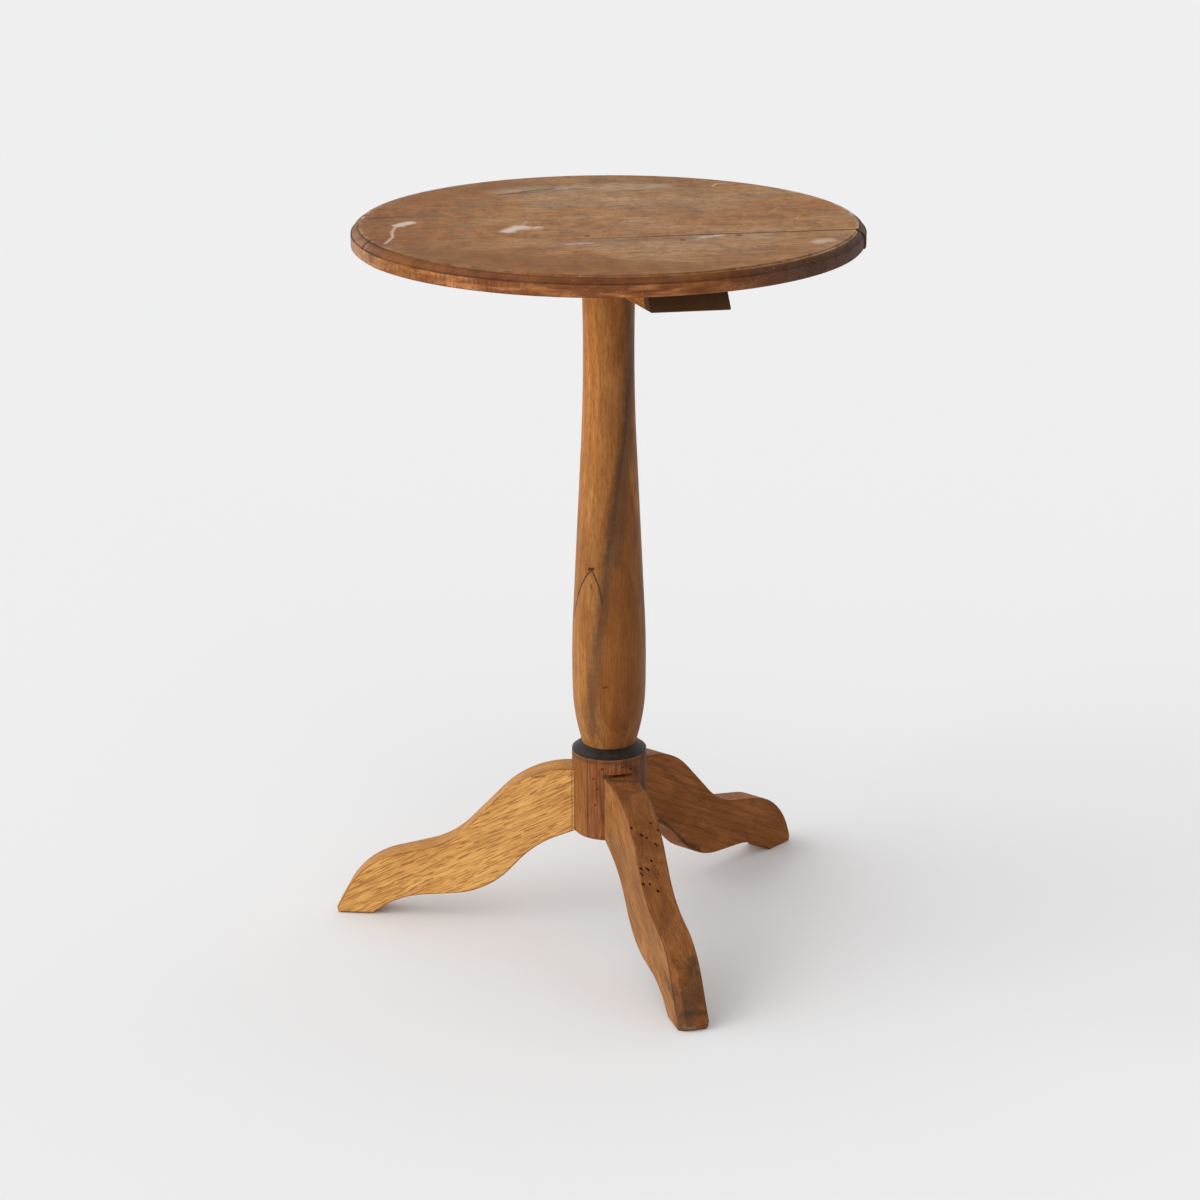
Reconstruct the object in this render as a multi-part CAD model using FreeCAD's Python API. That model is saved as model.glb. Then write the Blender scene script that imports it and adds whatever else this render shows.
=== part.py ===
import FreeCAD, Part
import math
import os

from FreeCAD import Placement, Rotation, Vector

# Round pedestal side table: a two-board moulded top on one batten, a turned column,
# a black collar, and a turned hub that carries three ogee legs on sliding dovetails.
# Millimetres, +Z up, origin on the floor under the column's axis.

# Overall height and the looseness of glued joints
TABLE_HEIGHT = 700.0
GLUE_GAP = 0.1

# Top: a disc with a stepped and rounded rim
TOP_RADIUS = 238.9
TOP_THICKNESS = 19.0
RIM_QUIRK = 1.3
RIM_BAND_WIDTH = 7.2
RIM_BAND_HEIGHT = 6.8
RIM_SHOULDER_WIDTH = 3.0
RIM_SHOULDER_DROP = 2.9
RIM_FILLET = 0.9
RIM_LOWER_ARRIS = 1.2

# Seam of the two boards, in front of the axis, and the front board's re-planed edge
SEAM_OFFSET = 73.0
SEAM_AZIMUTH = 9.4
SEAM_GAP = 0.4
FRONT_BOARD_LOSS = 2.0
FRONT_BOARD_SLIP = 1.2

# Dowels hidden in the seam
DOWEL_COUNT = 3
DOWEL_RADIUS = 4.0
DOWEL_LENGTH = 44.0
DOWEL_SPACING = 140.0
DOWEL_END_ROOM = 0.8

# Batten under the top, with skewed ends that lean outwards at the bottom
BATTEN_WIDTH = 70.5
BATTEN_THICKNESS = 22.5
BATTEN_REACH = 190.8
BATTEN_AZIMUTH = -69.2
BATTEN_END_SKEW = 10.9
BATTEN_END_RAKE = 13.0
BATTEN_ARRIS = 0.8

# Countersunk wood screws that hold the batten to the boards
SCREW_LENGTH = 34.0
SCREW_HEAD_RADIUS = 4.6
SCREW_HEAD_HEIGHT = 3.2
SCREW_SHANK_RADIUS = 2.3
SCREW_RECESS = 0.3
SCREW_STATION = 152.0

# Column: a slender baluster with a low swell and a round tenon at each end
COLUMN_FOOT_RADIUS = 26.5
COLUMN_BULB_RADIUS = 35.0
COLUMN_BULB_RISE = 34.0
COLUMN_BULB_ROUNDING = 200.0
COLUMN_SWELL_RADIUS = 36.1
COLUMN_SWELL_RISE = 100.0
COLUMN_SWELL_ROUNDING = 1000.0
COLUMN_NECK_RADIUS = 22.8
COLUMN_NECK_DROP = 95.5
COLUMN_NECK_ROUNDING = 1950.0
COLUMN_HEAD_RADIUS = 25.7
UPPER_TENON_RADIUS = 17.0
UPPER_TENON_SHY = 0.3
LOWER_TENON_RADIUS = 14.0

# Wedges that spread the tenons' ends
WEDGE_LENGTH = 20.0
WEDGE_BUTT = 4.2
WEDGE_TIP = 1.2

# Black turned collar between column and hub
COLLAR_RADIUS = 36.0
COLLAR_HEIGHT = 8.0
COLLAR_FILLET = 1.5
COLLAR_LEDGE = 0.6
COLLAR_SHOULDER_RADIUS = 32.0
COLLAR_SHOULDER_DROP = 3.4

# Hub: a turned drum
HUB_RADIUS = 36.3
HUB_HEAD = 18.0
HUB_TOE = 1.0
HUB_LOWER_ARRIS = 3.0

# Legs: flat sawn ogees
LEG_AZIMUTHS = {"leg_left": 174.0, "leg_front": 286.6, "leg_right": 50.0}
LEG_REACHES = {"leg_left": 271.0, "leg_front": 273.5, "leg_right": 278.0}
LEG_THICKNESS = 29.2
LEG_HEIGHT = 162.0
LEG_ROOT_DEPTH = 65.0
LEG_SOLE_LENGTH = 35.0
LEG_TOE_HEIGHT = 6.0
LEG_TOE_TUCK = 1.0
LEG_ARRIS = 1.5
LEG_HEADROOM = 3.0

# The ogee's bends: a share of the run from the seat outwards, a share of the rise from the floor,
# and the radius that the bend is rounded by. The legs were sawn by hand: their toes differ, and
# the front leg is fuller, with its bends further out.
LEG_KNEES = {
    "leg_left": (0.185, 1.0, 96.0),
    "leg_front": (0.300, 1.0, 96.0),
    "leg_right": (0.185, 1.0, 96.0),
}
LEG_WAISTS = {
    "leg_left": (0.513, 0.490, 86.0),
    "leg_front": (0.555, 0.528, 86.0),
    "leg_right": (0.513, 0.490, 86.0),
}
LEG_TOES = {
    "leg_left": (0.887, 0.344, 78.0),
    "leg_front": (0.837, 0.406, 78.0),
    "leg_right": (0.944, 0.335, 78.0),
}
LEG_UNDER_FULLNESS = {"leg_left": 0.0, "leg_front": 0.045, "leg_right": 0.0}
LEG_UNDER_TOES = (0.862, 0.211, 87.0)
LEG_UNDER_WAIST = (0.428, 0.294, 86.0)
LEG_UNDER_KNEE = (0.189, 0.841, 100.0)

# Dovetail tongue of each leg
TONGUE_DEPTH = 12.0
TONGUE_NECK_WIDTH = 12.0
TONGUE_TAIL_WIDTH = 17.0

# Heights and distances that follow from the sizes above
Z_AXIS = Vector(0, 0, 1)
ORIGIN = Vector(0, 0, 0)
TOP_UNDERSIDE = TABLE_HEIGHT - TOP_THICKNESS
BATTEN_UNDERSIDE = TOP_UNDERSIDE - BATTEN_THICKNESS
LEG_ROOT_BOTTOM = LEG_HEIGHT - LEG_ROOT_DEPTH
HUB_TOP = LEG_HEIGHT + HUB_HEAD
HUB_BOTTOM = LEG_ROOT_BOTTOM - HUB_TOE
COLLAR_TOP = HUB_TOP + COLLAR_HEIGHT
LEG_SEAT = math.sqrt(HUB_RADIUS**2 - (LEG_THICKNESS / 2) ** 2)
SEAM_ALONG = Vector(math.cos(math.radians(SEAM_AZIMUTH)), math.sin(math.radians(SEAM_AZIMUTH)), 0)
SEAM_FORWARD = Vector(SEAM_ALONG.y, -SEAM_ALONG.x, 0)


def turned(edges):
    """Revolve a closed chain of edges in the XZ plane about the Z axis."""
    return Part.Face(Part.Wire(edges)).revolve(ORIGIN, Z_AXIS, 360)


def lines(*points):
    """Straight edges through (radius or distance, height) points of the XZ plane."""
    spots = [Vector(x, 0, z) for x, z in points]
    return [Part.makeLine(a, b) for a, b in zip(spots, spots[1:])]


def rounded_path(*corners):
    """Straight runs through (distance, height, radius) corners, joined by tangent arcs.

    The first and last corner are ends and take no arc. An arc that is longer than its runs
    takes the room that they have.
    """
    spots = [Vector(x, 0, z) for x, z, _ in corners]
    edges = []
    start = spots[0]
    for index in range(1, len(spots) - 1):
        corner = spots[index]
        back = start - corner
        ahead = spots[index + 1] - corner
        half_turn = (math.pi - back.getAngle(ahead)) / 2
        ahead_share = 1.0 if index == len(spots) - 2 else 0.5
        room = 0.98 * min(back.Length, ahead.Length * ahead_share)
        tangent = min(corners[index][2] * math.tan(half_turn), room)
        radius = tangent / math.tan(half_turn)
        back.normalize()
        ahead.normalize()
        inwards = (back + ahead).normalize()
        middle = corner + inwards * (radius / math.cos(half_turn) - radius)
        arc_end = corner + ahead * tangent
        edges.append(Part.makeLine(start, corner + back * tangent))
        edges.append(Part.Arc(corner + back * tangent, middle, arc_end).toShape())
        start = arc_end
    edges.append(Part.makeLine(start, spots[-1]))
    return edges


def turned_to(shape, azimuth):
    """The shape turned about the column's axis."""
    return shape.rotated(ORIGIN, Z_AXIS, azimuth)


def half_space(offset, forward):
    """A large block on one side of the seam's plane, moved out by offset."""
    size = 4 * TOP_RADIUS
    block = Part.makeBox(size, size, 2 * TABLE_HEIGHT, Vector(-size / 2, -size if forward else 0, 0))
    block.Placement = Placement(SEAM_FORWARD * offset, Rotation(Z_AXIS, SEAM_AZIMUTH))
    return block


def top_disc():
    """The whole moulded disc before it is parted at the seam."""
    arris = TOP_RADIUS - RIM_BAND_WIDTH
    band_top = TABLE_HEIGHT - RIM_QUIRK
    band_foot = TABLE_HEIGHT - RIM_BAND_HEIGHT
    band_edge = TOP_RADIUS - RIM_FILLET
    edges = lines(
        (0, TABLE_HEIGHT),
        (arris, TABLE_HEIGHT),
        (arris, band_top),
        (TOP_RADIUS - RIM_SHOULDER_WIDTH, TABLE_HEIGHT - RIM_SHOULDER_DROP),
        (band_edge, band_foot),
        (TOP_RADIUS, band_foot),
        (TOP_RADIUS, TOP_UNDERSIDE + RIM_LOWER_ARRIS),
        (TOP_RADIUS - RIM_LOWER_ARRIS, TOP_UNDERSIDE),
        (0, TOP_UNDERSIDE),
        (0, TABLE_HEIGHT),
    )
    return turned(edges)


def seam_cylinders(radius, length):
    """Round bars square across the seam, at the dowels' places."""
    bars = []
    for index in range(DOWEL_COUNT):
        along = (index - (DOWEL_COUNT - 1) / 2) * DOWEL_SPACING
        middle = SEAM_ALONG * along + SEAM_FORWARD * SEAM_OFFSET
        middle.z = TABLE_HEIGHT - TOP_THICKNESS / 2
        bars.append(Part.makeCylinder(radius, length, middle - SEAM_FORWARD * (length / 2), SEAM_FORWARD))
    return bars


def screw_places():
    """The screws' places, one near each end of the batten."""
    for station in (SCREW_STATION, -SCREW_STATION):
        yield Placement(Vector(station, 0, BATTEN_UNDERSIDE + SCREW_RECESS), Rotation())


def screw_body(clearance):
    """One screw standing on its head, or with a clearance the hole that it fills."""
    head = SCREW_HEAD_RADIUS + clearance
    shank = SCREW_SHANK_RADIUS + clearance
    tip = SCREW_LENGTH + clearance
    return turned(lines((0, 0), (head, 0), (shank, SCREW_HEAD_HEIGHT), (shank, tip), (0, tip), (0, 0)))


def placed_on_batten(shape):
    """Each screw place's copy of a shape, turned with the batten."""
    return [turned_to(shape.transformed(place.toMatrix()), BATTEN_AZIMUTH) for place in screw_places()]


def batten_screws():
    """Countersunk screws, driven up through the batten."""
    return Part.Compound(placed_on_batten(screw_body(0)))


def screw_holes():
    """The holes that the screws fill, open through the batten's underside."""
    depth = 2 * SCREW_RECESS
    mouth = Part.makeCylinder(SCREW_HEAD_RADIUS + GLUE_GAP, depth, Vector(0, 0, -depth))
    return placed_on_batten(screw_body(GLUE_GAP).fuse(mouth))


def top_boards():
    """The rear board and the narrower front board, bored for dowels and screws."""
    disc = top_disc()
    bores = seam_cylinders(DOWEL_RADIUS + GLUE_GAP, DOWEL_LENGTH + 2 * DOWEL_END_ROOM) + screw_holes()
    rear = disc.common(half_space(SEAM_OFFSET - SEAM_GAP / 2, False)).cut(bores)
    shift = SEAM_FORWARD * -FRONT_BOARD_LOSS + SEAM_ALONG * -FRONT_BOARD_SLIP
    front = disc.translated(shift).common(half_space(SEAM_OFFSET + SEAM_GAP / 2, True)).cut(bores)
    return rear, front


def batten():
    """The bar under the top, bored for the column's tenon and the screws."""
    half = BATTEN_WIDTH / 2
    skew = half * math.tan(math.radians(BATTEN_END_SKEW))
    levels = []
    reaches = {BATTEN_UNDERSIDE: BATTEN_REACH + BATTEN_END_RAKE, TOP_UNDERSIDE: BATTEN_REACH}
    for height, reach in reaches.items():
        corners = [(reach - skew, -half), (reach + skew, half), (-reach + skew, half)]
        corners += [(-reach - skew, -half), corners[0]]
        levels.append(Part.makePolygon([Vector(x, y, height) for x, y in corners]))
    bar = Part.makeLoft(levels, True, True)
    low_edges = [e for e in bar.Edges if e.BoundBox.ZMax < BATTEN_UNDERSIDE + BATTEN_ARRIS]
    bar = turned_to(bar.makeChamfer(BATTEN_ARRIS, low_edges), BATTEN_AZIMUTH)
    tenon_bore = Part.makeCylinder(
        UPPER_TENON_RADIUS + GLUE_GAP, BATTEN_THICKNESS, Vector(0, 0, BATTEN_UNDERSIDE)
    )
    return bar.cut([tenon_bore] + screw_holes())


def wedge_blank(radius, butt_height, upwards, azimuth):
    """A tapered wedge across a round tenon, with its thick end at butt_height."""
    tip_height = butt_height - upwards * WEDGE_LENGTH
    taper = lines(
        (-WEDGE_BUTT / 2, butt_height),
        (WEDGE_BUTT / 2, butt_height),
        (WEDGE_TIP / 2, tip_height),
        (-WEDGE_TIP / 2, tip_height),
        (-WEDGE_BUTT / 2, butt_height),
    )
    blade = Part.Face(Part.Wire(taper)).extrude(Vector(0, 2 * radius, 0)).translated(Vector(0, -radius, 0))
    foot = min(butt_height, tip_height)
    tenon = Part.makeCylinder(radius, WEDGE_LENGTH, Vector(0, 0, foot))
    return turned_to(blade.common(tenon), azimuth)


def tenon_wedges():
    """The wedges of the upper and lower tenon, each across its own grain."""
    upper = wedge_blank(UPPER_TENON_RADIUS, TOP_UNDERSIDE - UPPER_TENON_SHY, 1, BATTEN_AZIMUTH)
    lower = wedge_blank(LOWER_TENON_RADIUS, HUB_BOTTOM, -1, LEG_AZIMUTHS["leg_front"])
    return upper, lower


def column(wedges):
    """The turned baluster with a shouldered tenon at each end, sawn for its wedges."""
    tenon_top = TOP_UNDERSIDE - UPPER_TENON_SHY
    edges = lines(
        (0, HUB_BOTTOM),
        (LOWER_TENON_RADIUS, HUB_BOTTOM),
        (LOWER_TENON_RADIUS, COLLAR_TOP),
        (COLUMN_FOOT_RADIUS, COLLAR_TOP),
    )
    edges += rounded_path(
        (COLUMN_FOOT_RADIUS, COLLAR_TOP, 0),
        (COLUMN_BULB_RADIUS, COLLAR_TOP + COLUMN_BULB_RISE, COLUMN_BULB_ROUNDING),
        (COLUMN_SWELL_RADIUS, COLLAR_TOP + COLUMN_SWELL_RISE, COLUMN_SWELL_ROUNDING),
        (COLUMN_NECK_RADIUS, BATTEN_UNDERSIDE - COLUMN_NECK_DROP, COLUMN_NECK_ROUNDING),
        (COLUMN_HEAD_RADIUS, BATTEN_UNDERSIDE, 0),
    )
    edges += lines(
        (COLUMN_HEAD_RADIUS, BATTEN_UNDERSIDE),
        (UPPER_TENON_RADIUS, BATTEN_UNDERSIDE),
        (UPPER_TENON_RADIUS, tenon_top),
        (0, tenon_top),
        (0, HUB_BOTTOM),
    )
    return turned(edges).cut(list(wedges))


def collar():
    """The black ring: a flat ledge round the column's foot, two bevels and a square fillet."""
    bore = LOWER_TENON_RADIUS + GLUE_GAP
    fillet_top = HUB_TOP + COLLAR_FILLET
    outline = lines(
        (bore, HUB_TOP),
        (bore, COLLAR_TOP),
        (COLUMN_FOOT_RADIUS + COLLAR_LEDGE, COLLAR_TOP),
        (COLLAR_SHOULDER_RADIUS, COLLAR_TOP - COLLAR_SHOULDER_DROP),
        (COLLAR_RADIUS - COLLAR_LEDGE, fillet_top),
        (COLLAR_RADIUS, fillet_top),
        (COLLAR_RADIUS, HUB_TOP),
        (bore, HUB_TOP),
    )
    return turned(outline)


def tongue(clearance, bottom, top):
    """A leg's dovetail tongue on the +X side, or with a clearance the socket for it."""
    neck = TONGUE_NECK_WIDTH / 2 + clearance
    tail = TONGUE_TAIL_WIDTH / 2 + clearance
    inner = LEG_SEAT - TONGUE_DEPTH - clearance
    corners = [(LEG_SEAT, -neck), (LEG_SEAT, neck), (inner, tail), (inner, -tail), (LEG_SEAT, -neck)]
    outline = Part.makePolygon([Vector(x, y, bottom) for x, y in corners])
    return Part.Face(outline).extrude(Vector(0, 0, top - bottom))


def hub():
    """The drum, bored for the column and cut from below with a flat seat and socket per leg."""
    drum = Part.makeCylinder(HUB_RADIUS, HUB_TOP - HUB_BOTTOM, Vector(0, 0, HUB_BOTTOM))
    low_edges = [e for e in drum.Edges if e.BoundBox.ZMax < HUB_BOTTOM + HUB_LOWER_ARRIS]
    drum = drum.makeChamfer(HUB_LOWER_ARRIS, low_edges)
    socket_top = LEG_HEIGHT + LEG_HEADROOM
    seat = Part.makeBox(
        HUB_RADIUS,
        LEG_THICKNESS + 2 * GLUE_GAP,
        socket_top - HUB_BOTTOM,
        Vector(LEG_SEAT, -LEG_THICKNESS / 2 - GLUE_GAP, HUB_BOTTOM),
    )
    socket = seat.fuse(tongue(GLUE_GAP, HUB_BOTTOM, socket_top))
    bore = Part.makeCylinder(
        LOWER_TENON_RADIUS + GLUE_GAP, HUB_TOP - HUB_BOTTOM, Vector(0, 0, HUB_BOTTOM)
    )
    return drum.cut([bore] + [turned_to(socket, azimuth) for azimuth in LEG_AZIMUTHS.values()])


def bend(shares, reach, height, fullness=0.0):
    """A bend of the ogee as a (distance, height, radius) corner."""
    run, rise, radius = shares
    return LEG_SEAT + (run + fullness) * (reach - LEG_SEAT), rise * height, radius


def leg_blank(name):
    """One leg along +X: the sawn ogee with eased arrises and its dovetail tongue."""
    reach = LEG_REACHES[name]
    heel = reach - LEG_SOLE_LENGTH
    fullness = LEG_UNDER_FULLNESS[name]
    edges = rounded_path(
        (LEG_SEAT, LEG_HEIGHT, 0),
        bend(LEG_KNEES[name], reach, LEG_HEIGHT),
        bend(LEG_WAISTS[name], reach, LEG_HEIGHT),
        bend(LEG_TOES[name], reach, LEG_HEIGHT),
        (reach, LEG_TOE_HEIGHT, 0),
    )
    edges += lines((reach, LEG_TOE_HEIGHT), (reach - LEG_TOE_TUCK, 0), (heel, 0))
    edges += rounded_path(
        (heel, 0, 0),
        bend(LEG_UNDER_TOES, heel, LEG_ROOT_BOTTOM),
        bend(LEG_UNDER_WAIST, heel, LEG_ROOT_BOTTOM, fullness),
        bend(LEG_UNDER_KNEE, heel, LEG_ROOT_BOTTOM, fullness),
        (LEG_SEAT, LEG_ROOT_BOTTOM, 0),
    )
    edges += lines((LEG_SEAT, LEG_ROOT_BOTTOM), (LEG_SEAT, LEG_HEIGHT))
    plank = Part.Face(Part.Wire(edges)).extrude(Vector(0, LEG_THICKNESS, 0))
    plank.translate(Vector(0, -LEG_THICKNESS / 2, 0))
    side_edges = [e for e in plank.Edges if e.BoundBox.YLength < GLUE_GAP]
    arrises = [e for e in side_edges if e.BoundBox.XMax > LEG_SEAT + GLUE_GAP]
    plank = plank.makeChamfer(LEG_ARRIS, arrises)
    return plank.fuse(tongue(0, LEG_ROOT_BOTTOM, LEG_HEIGHT)).removeSplitter()


def table_pieces():
    """Every piece of the table by name."""
    rear, front = top_boards()
    upper_wedge, lower_wedge = tenon_wedges()
    pieces = {
        "top_rear_board": rear,
        "top_front_board": front,
        "seam_dowels": Part.Compound(seam_cylinders(DOWEL_RADIUS, DOWEL_LENGTH)),
        "batten": batten(),
        "batten_screws": batten_screws(),
        "column": column((upper_wedge, lower_wedge)),
        "upper_tenon_wedge": upper_wedge,
        "lower_tenon_wedge": lower_wedge,
        "collar": collar(),
        "hub": hub(),
    }
    for name, azimuth in LEG_AZIMUTHS.items():
        pieces[name] = turned_to(leg_blank(name), azimuth)
    return pieces


os.makedirs("parts", exist_ok=True)
for node, shape in table_pieces().items():
    shape.exportStep(os.path.join("parts", node + ".step"))
    print(node, len(shape.Solids), shape.isValid(), round(shape.Volume))
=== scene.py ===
import logging
import math
from dataclasses import dataclass, field
from enum import Enum
from typing import Callable, Iterable, Iterator, Optional, Union

import bmesh
import bpy
from mathutils import Matrix, Vector


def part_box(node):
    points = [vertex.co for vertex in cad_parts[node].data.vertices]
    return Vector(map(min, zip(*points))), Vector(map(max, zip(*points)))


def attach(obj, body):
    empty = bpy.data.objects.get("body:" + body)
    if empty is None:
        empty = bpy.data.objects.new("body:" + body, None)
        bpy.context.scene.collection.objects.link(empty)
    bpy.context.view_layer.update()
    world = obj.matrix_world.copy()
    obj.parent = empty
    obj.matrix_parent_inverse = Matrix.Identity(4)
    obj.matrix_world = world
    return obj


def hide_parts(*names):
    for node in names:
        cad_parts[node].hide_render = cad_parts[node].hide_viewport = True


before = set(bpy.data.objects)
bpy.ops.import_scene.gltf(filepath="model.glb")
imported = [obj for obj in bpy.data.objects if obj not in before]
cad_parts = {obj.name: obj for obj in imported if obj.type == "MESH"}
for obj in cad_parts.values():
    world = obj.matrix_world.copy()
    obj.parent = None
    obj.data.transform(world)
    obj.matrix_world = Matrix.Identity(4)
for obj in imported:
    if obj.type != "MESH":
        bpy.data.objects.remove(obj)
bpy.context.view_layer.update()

LOG = logging.getLogger("side_table")
MM = 0.001
Point = tuple[float, float, float]
Tone = tuple[float, float, float]
Socket = bpy.types.NodeSocket
Value = Union[Socket, float, tuple]

# Places on the table, in millimetres and degrees
TOP_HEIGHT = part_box("top_rear_board")[1].z / MM
TOP_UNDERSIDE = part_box("top_rear_board")[0].z / MM
BATTEN_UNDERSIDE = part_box("batten")[0].z / MM
ARRIS_RADIUS = 231.7
RIM_RADIUS = 238.9
BAND_FOOT = 693.2
SEAM_AZIMUTH = 9.4
SEAM_OFFSET = 73.0
BATTEN_AZIMUTH = -69.2
HUB_RADIUS = 36.3
LEG_HALF_THICKNESS = 14.6

# Heights and radii of the column
COLUMN_OUTLINE = (
    (188, 26.5), (205, 30.7), (222, 33.7), (235, 35.0), (262, 35.65), (290, 35.5), (310, 35.0),
    (340, 33.6), (420, 29.7), (500, 25.9), (540, 24.65), (590, 24.25), (620, 24.6), (659, 25.7),
)

# Sizes of the noises that fray the marks' edges, in millimetres, and how often each repeats in its size
RAG_SIZES = (1.5, 5.0, 20.0)
RAG_FINENESS = 1.1


class Stain(Enum):
    """What a mark on the wood is: its colour, its roughness, and whether it is soaked in under the grain."""

    BLEACHED = ((0.40, 0.29, 0.20), 0.70, True)
    AMBER = ((0.245, 0.096, 0.023), 0.45, True)
    HEARTWOOD = ((0.115, 0.054, 0.026), 0.50, True)
    # Pale rubbed wear; this colour is also used for a painted highlight along the top's arris.
    SCUFF_AND_HIGHLIGHT = ((0.56, 0.47, 0.40), 0.75, False)
    WORN = ((0.44, 0.31, 0.21), 0.60, False)
    # Real grime; this colour is also used for painted shade in grooves, creases, gaps and under parts.
    GRIME_AND_SHADE = ((0.060, 0.032, 0.018), 0.60, False)
    HOLE = ((0.012, 0.007, 0.005), 0.90, False)

    @property
    def colour(self) -> Tone:
        """The stain's own colour."""
        return self.value[0]

    @property
    def roughness(self) -> float:
        """The stain's own roughness."""
        return self.value[1]

    @property
    def soaked(self) -> bool:
        """Whether the grain shows through it."""
        return self.value[2]


def turned(azimuth: float, along: float, across: float, height: float) -> Point:
    """A point by its distances along an azimuth and to the left of it, and its height."""
    cos, sin = math.cos(math.radians(azimuth)), math.sin(math.radians(azimuth))
    return along * cos - across * sin, along * sin + across * cos, height


def polar(azimuth: float, radius: float, height: float) -> Point:
    """A point by azimuth, distance from the column's axis and height."""
    return turned(azimuth, radius, 0.0, height)


def on_face(x: float, y: float) -> Point:
    """A point on the top's face."""
    return x, y, TOP_HEIGHT


def on_seam(station: float, height: float = TOP_HEIGHT) -> Point:
    """A point of the seam, by distance to the right along it and height."""
    return turned(SEAM_AZIMUTH, station, -SEAM_OFFSET, height)


def on_hub(azimuth: float, height: float) -> Point:
    """A point on the hub's surface."""
    return polar(azimuth, HUB_RADIUS, height)


def on_column(azimuth: float, height: float) -> Point:
    """A point on the column's surface.

    Args:
        azimuth: Direction from the axis.
        height: Height above the floor.

    Returns:
        The point, on straight lines between the corners of the column's outline.
    """
    for (low, start), (high, end) in zip(COLUMN_OUTLINE, COLUMN_OUTLINE[1:]):
        if height <= high:
            return polar(azimuth, start + (end - start) * (height - low) / (high - low), height)
    return polar(azimuth, COLUMN_OUTLINE[-1][1], height)


class LegSide(Enum):
    """The legs by name, with the azimuth that each one points to."""

    LEFT = ("leg_left", 174.0)
    FRONT = ("leg_front", 286.6)
    RIGHT = ("leg_right", 50.0)

    @property
    def node(self) -> str:
        """Name of the leg's node."""
        return self.value[0]

    @property
    def azimuth(self) -> float:
        """Direction of the leg from the column, in degrees."""
        return self.value[1]

    @property
    def rightwards(self) -> Point:
        """Direction to the leg's right, looking outwards from the column."""
        return turned(self.azimuth, 0.0, -1.0, 0.0)

    def at(self, distance: float, height: float, lateral: float) -> Point:
        """A point of the leg by distance from the axis, height and offset to the leg's right."""
        return turned(self.azimuth, distance, -lateral, height)


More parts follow.
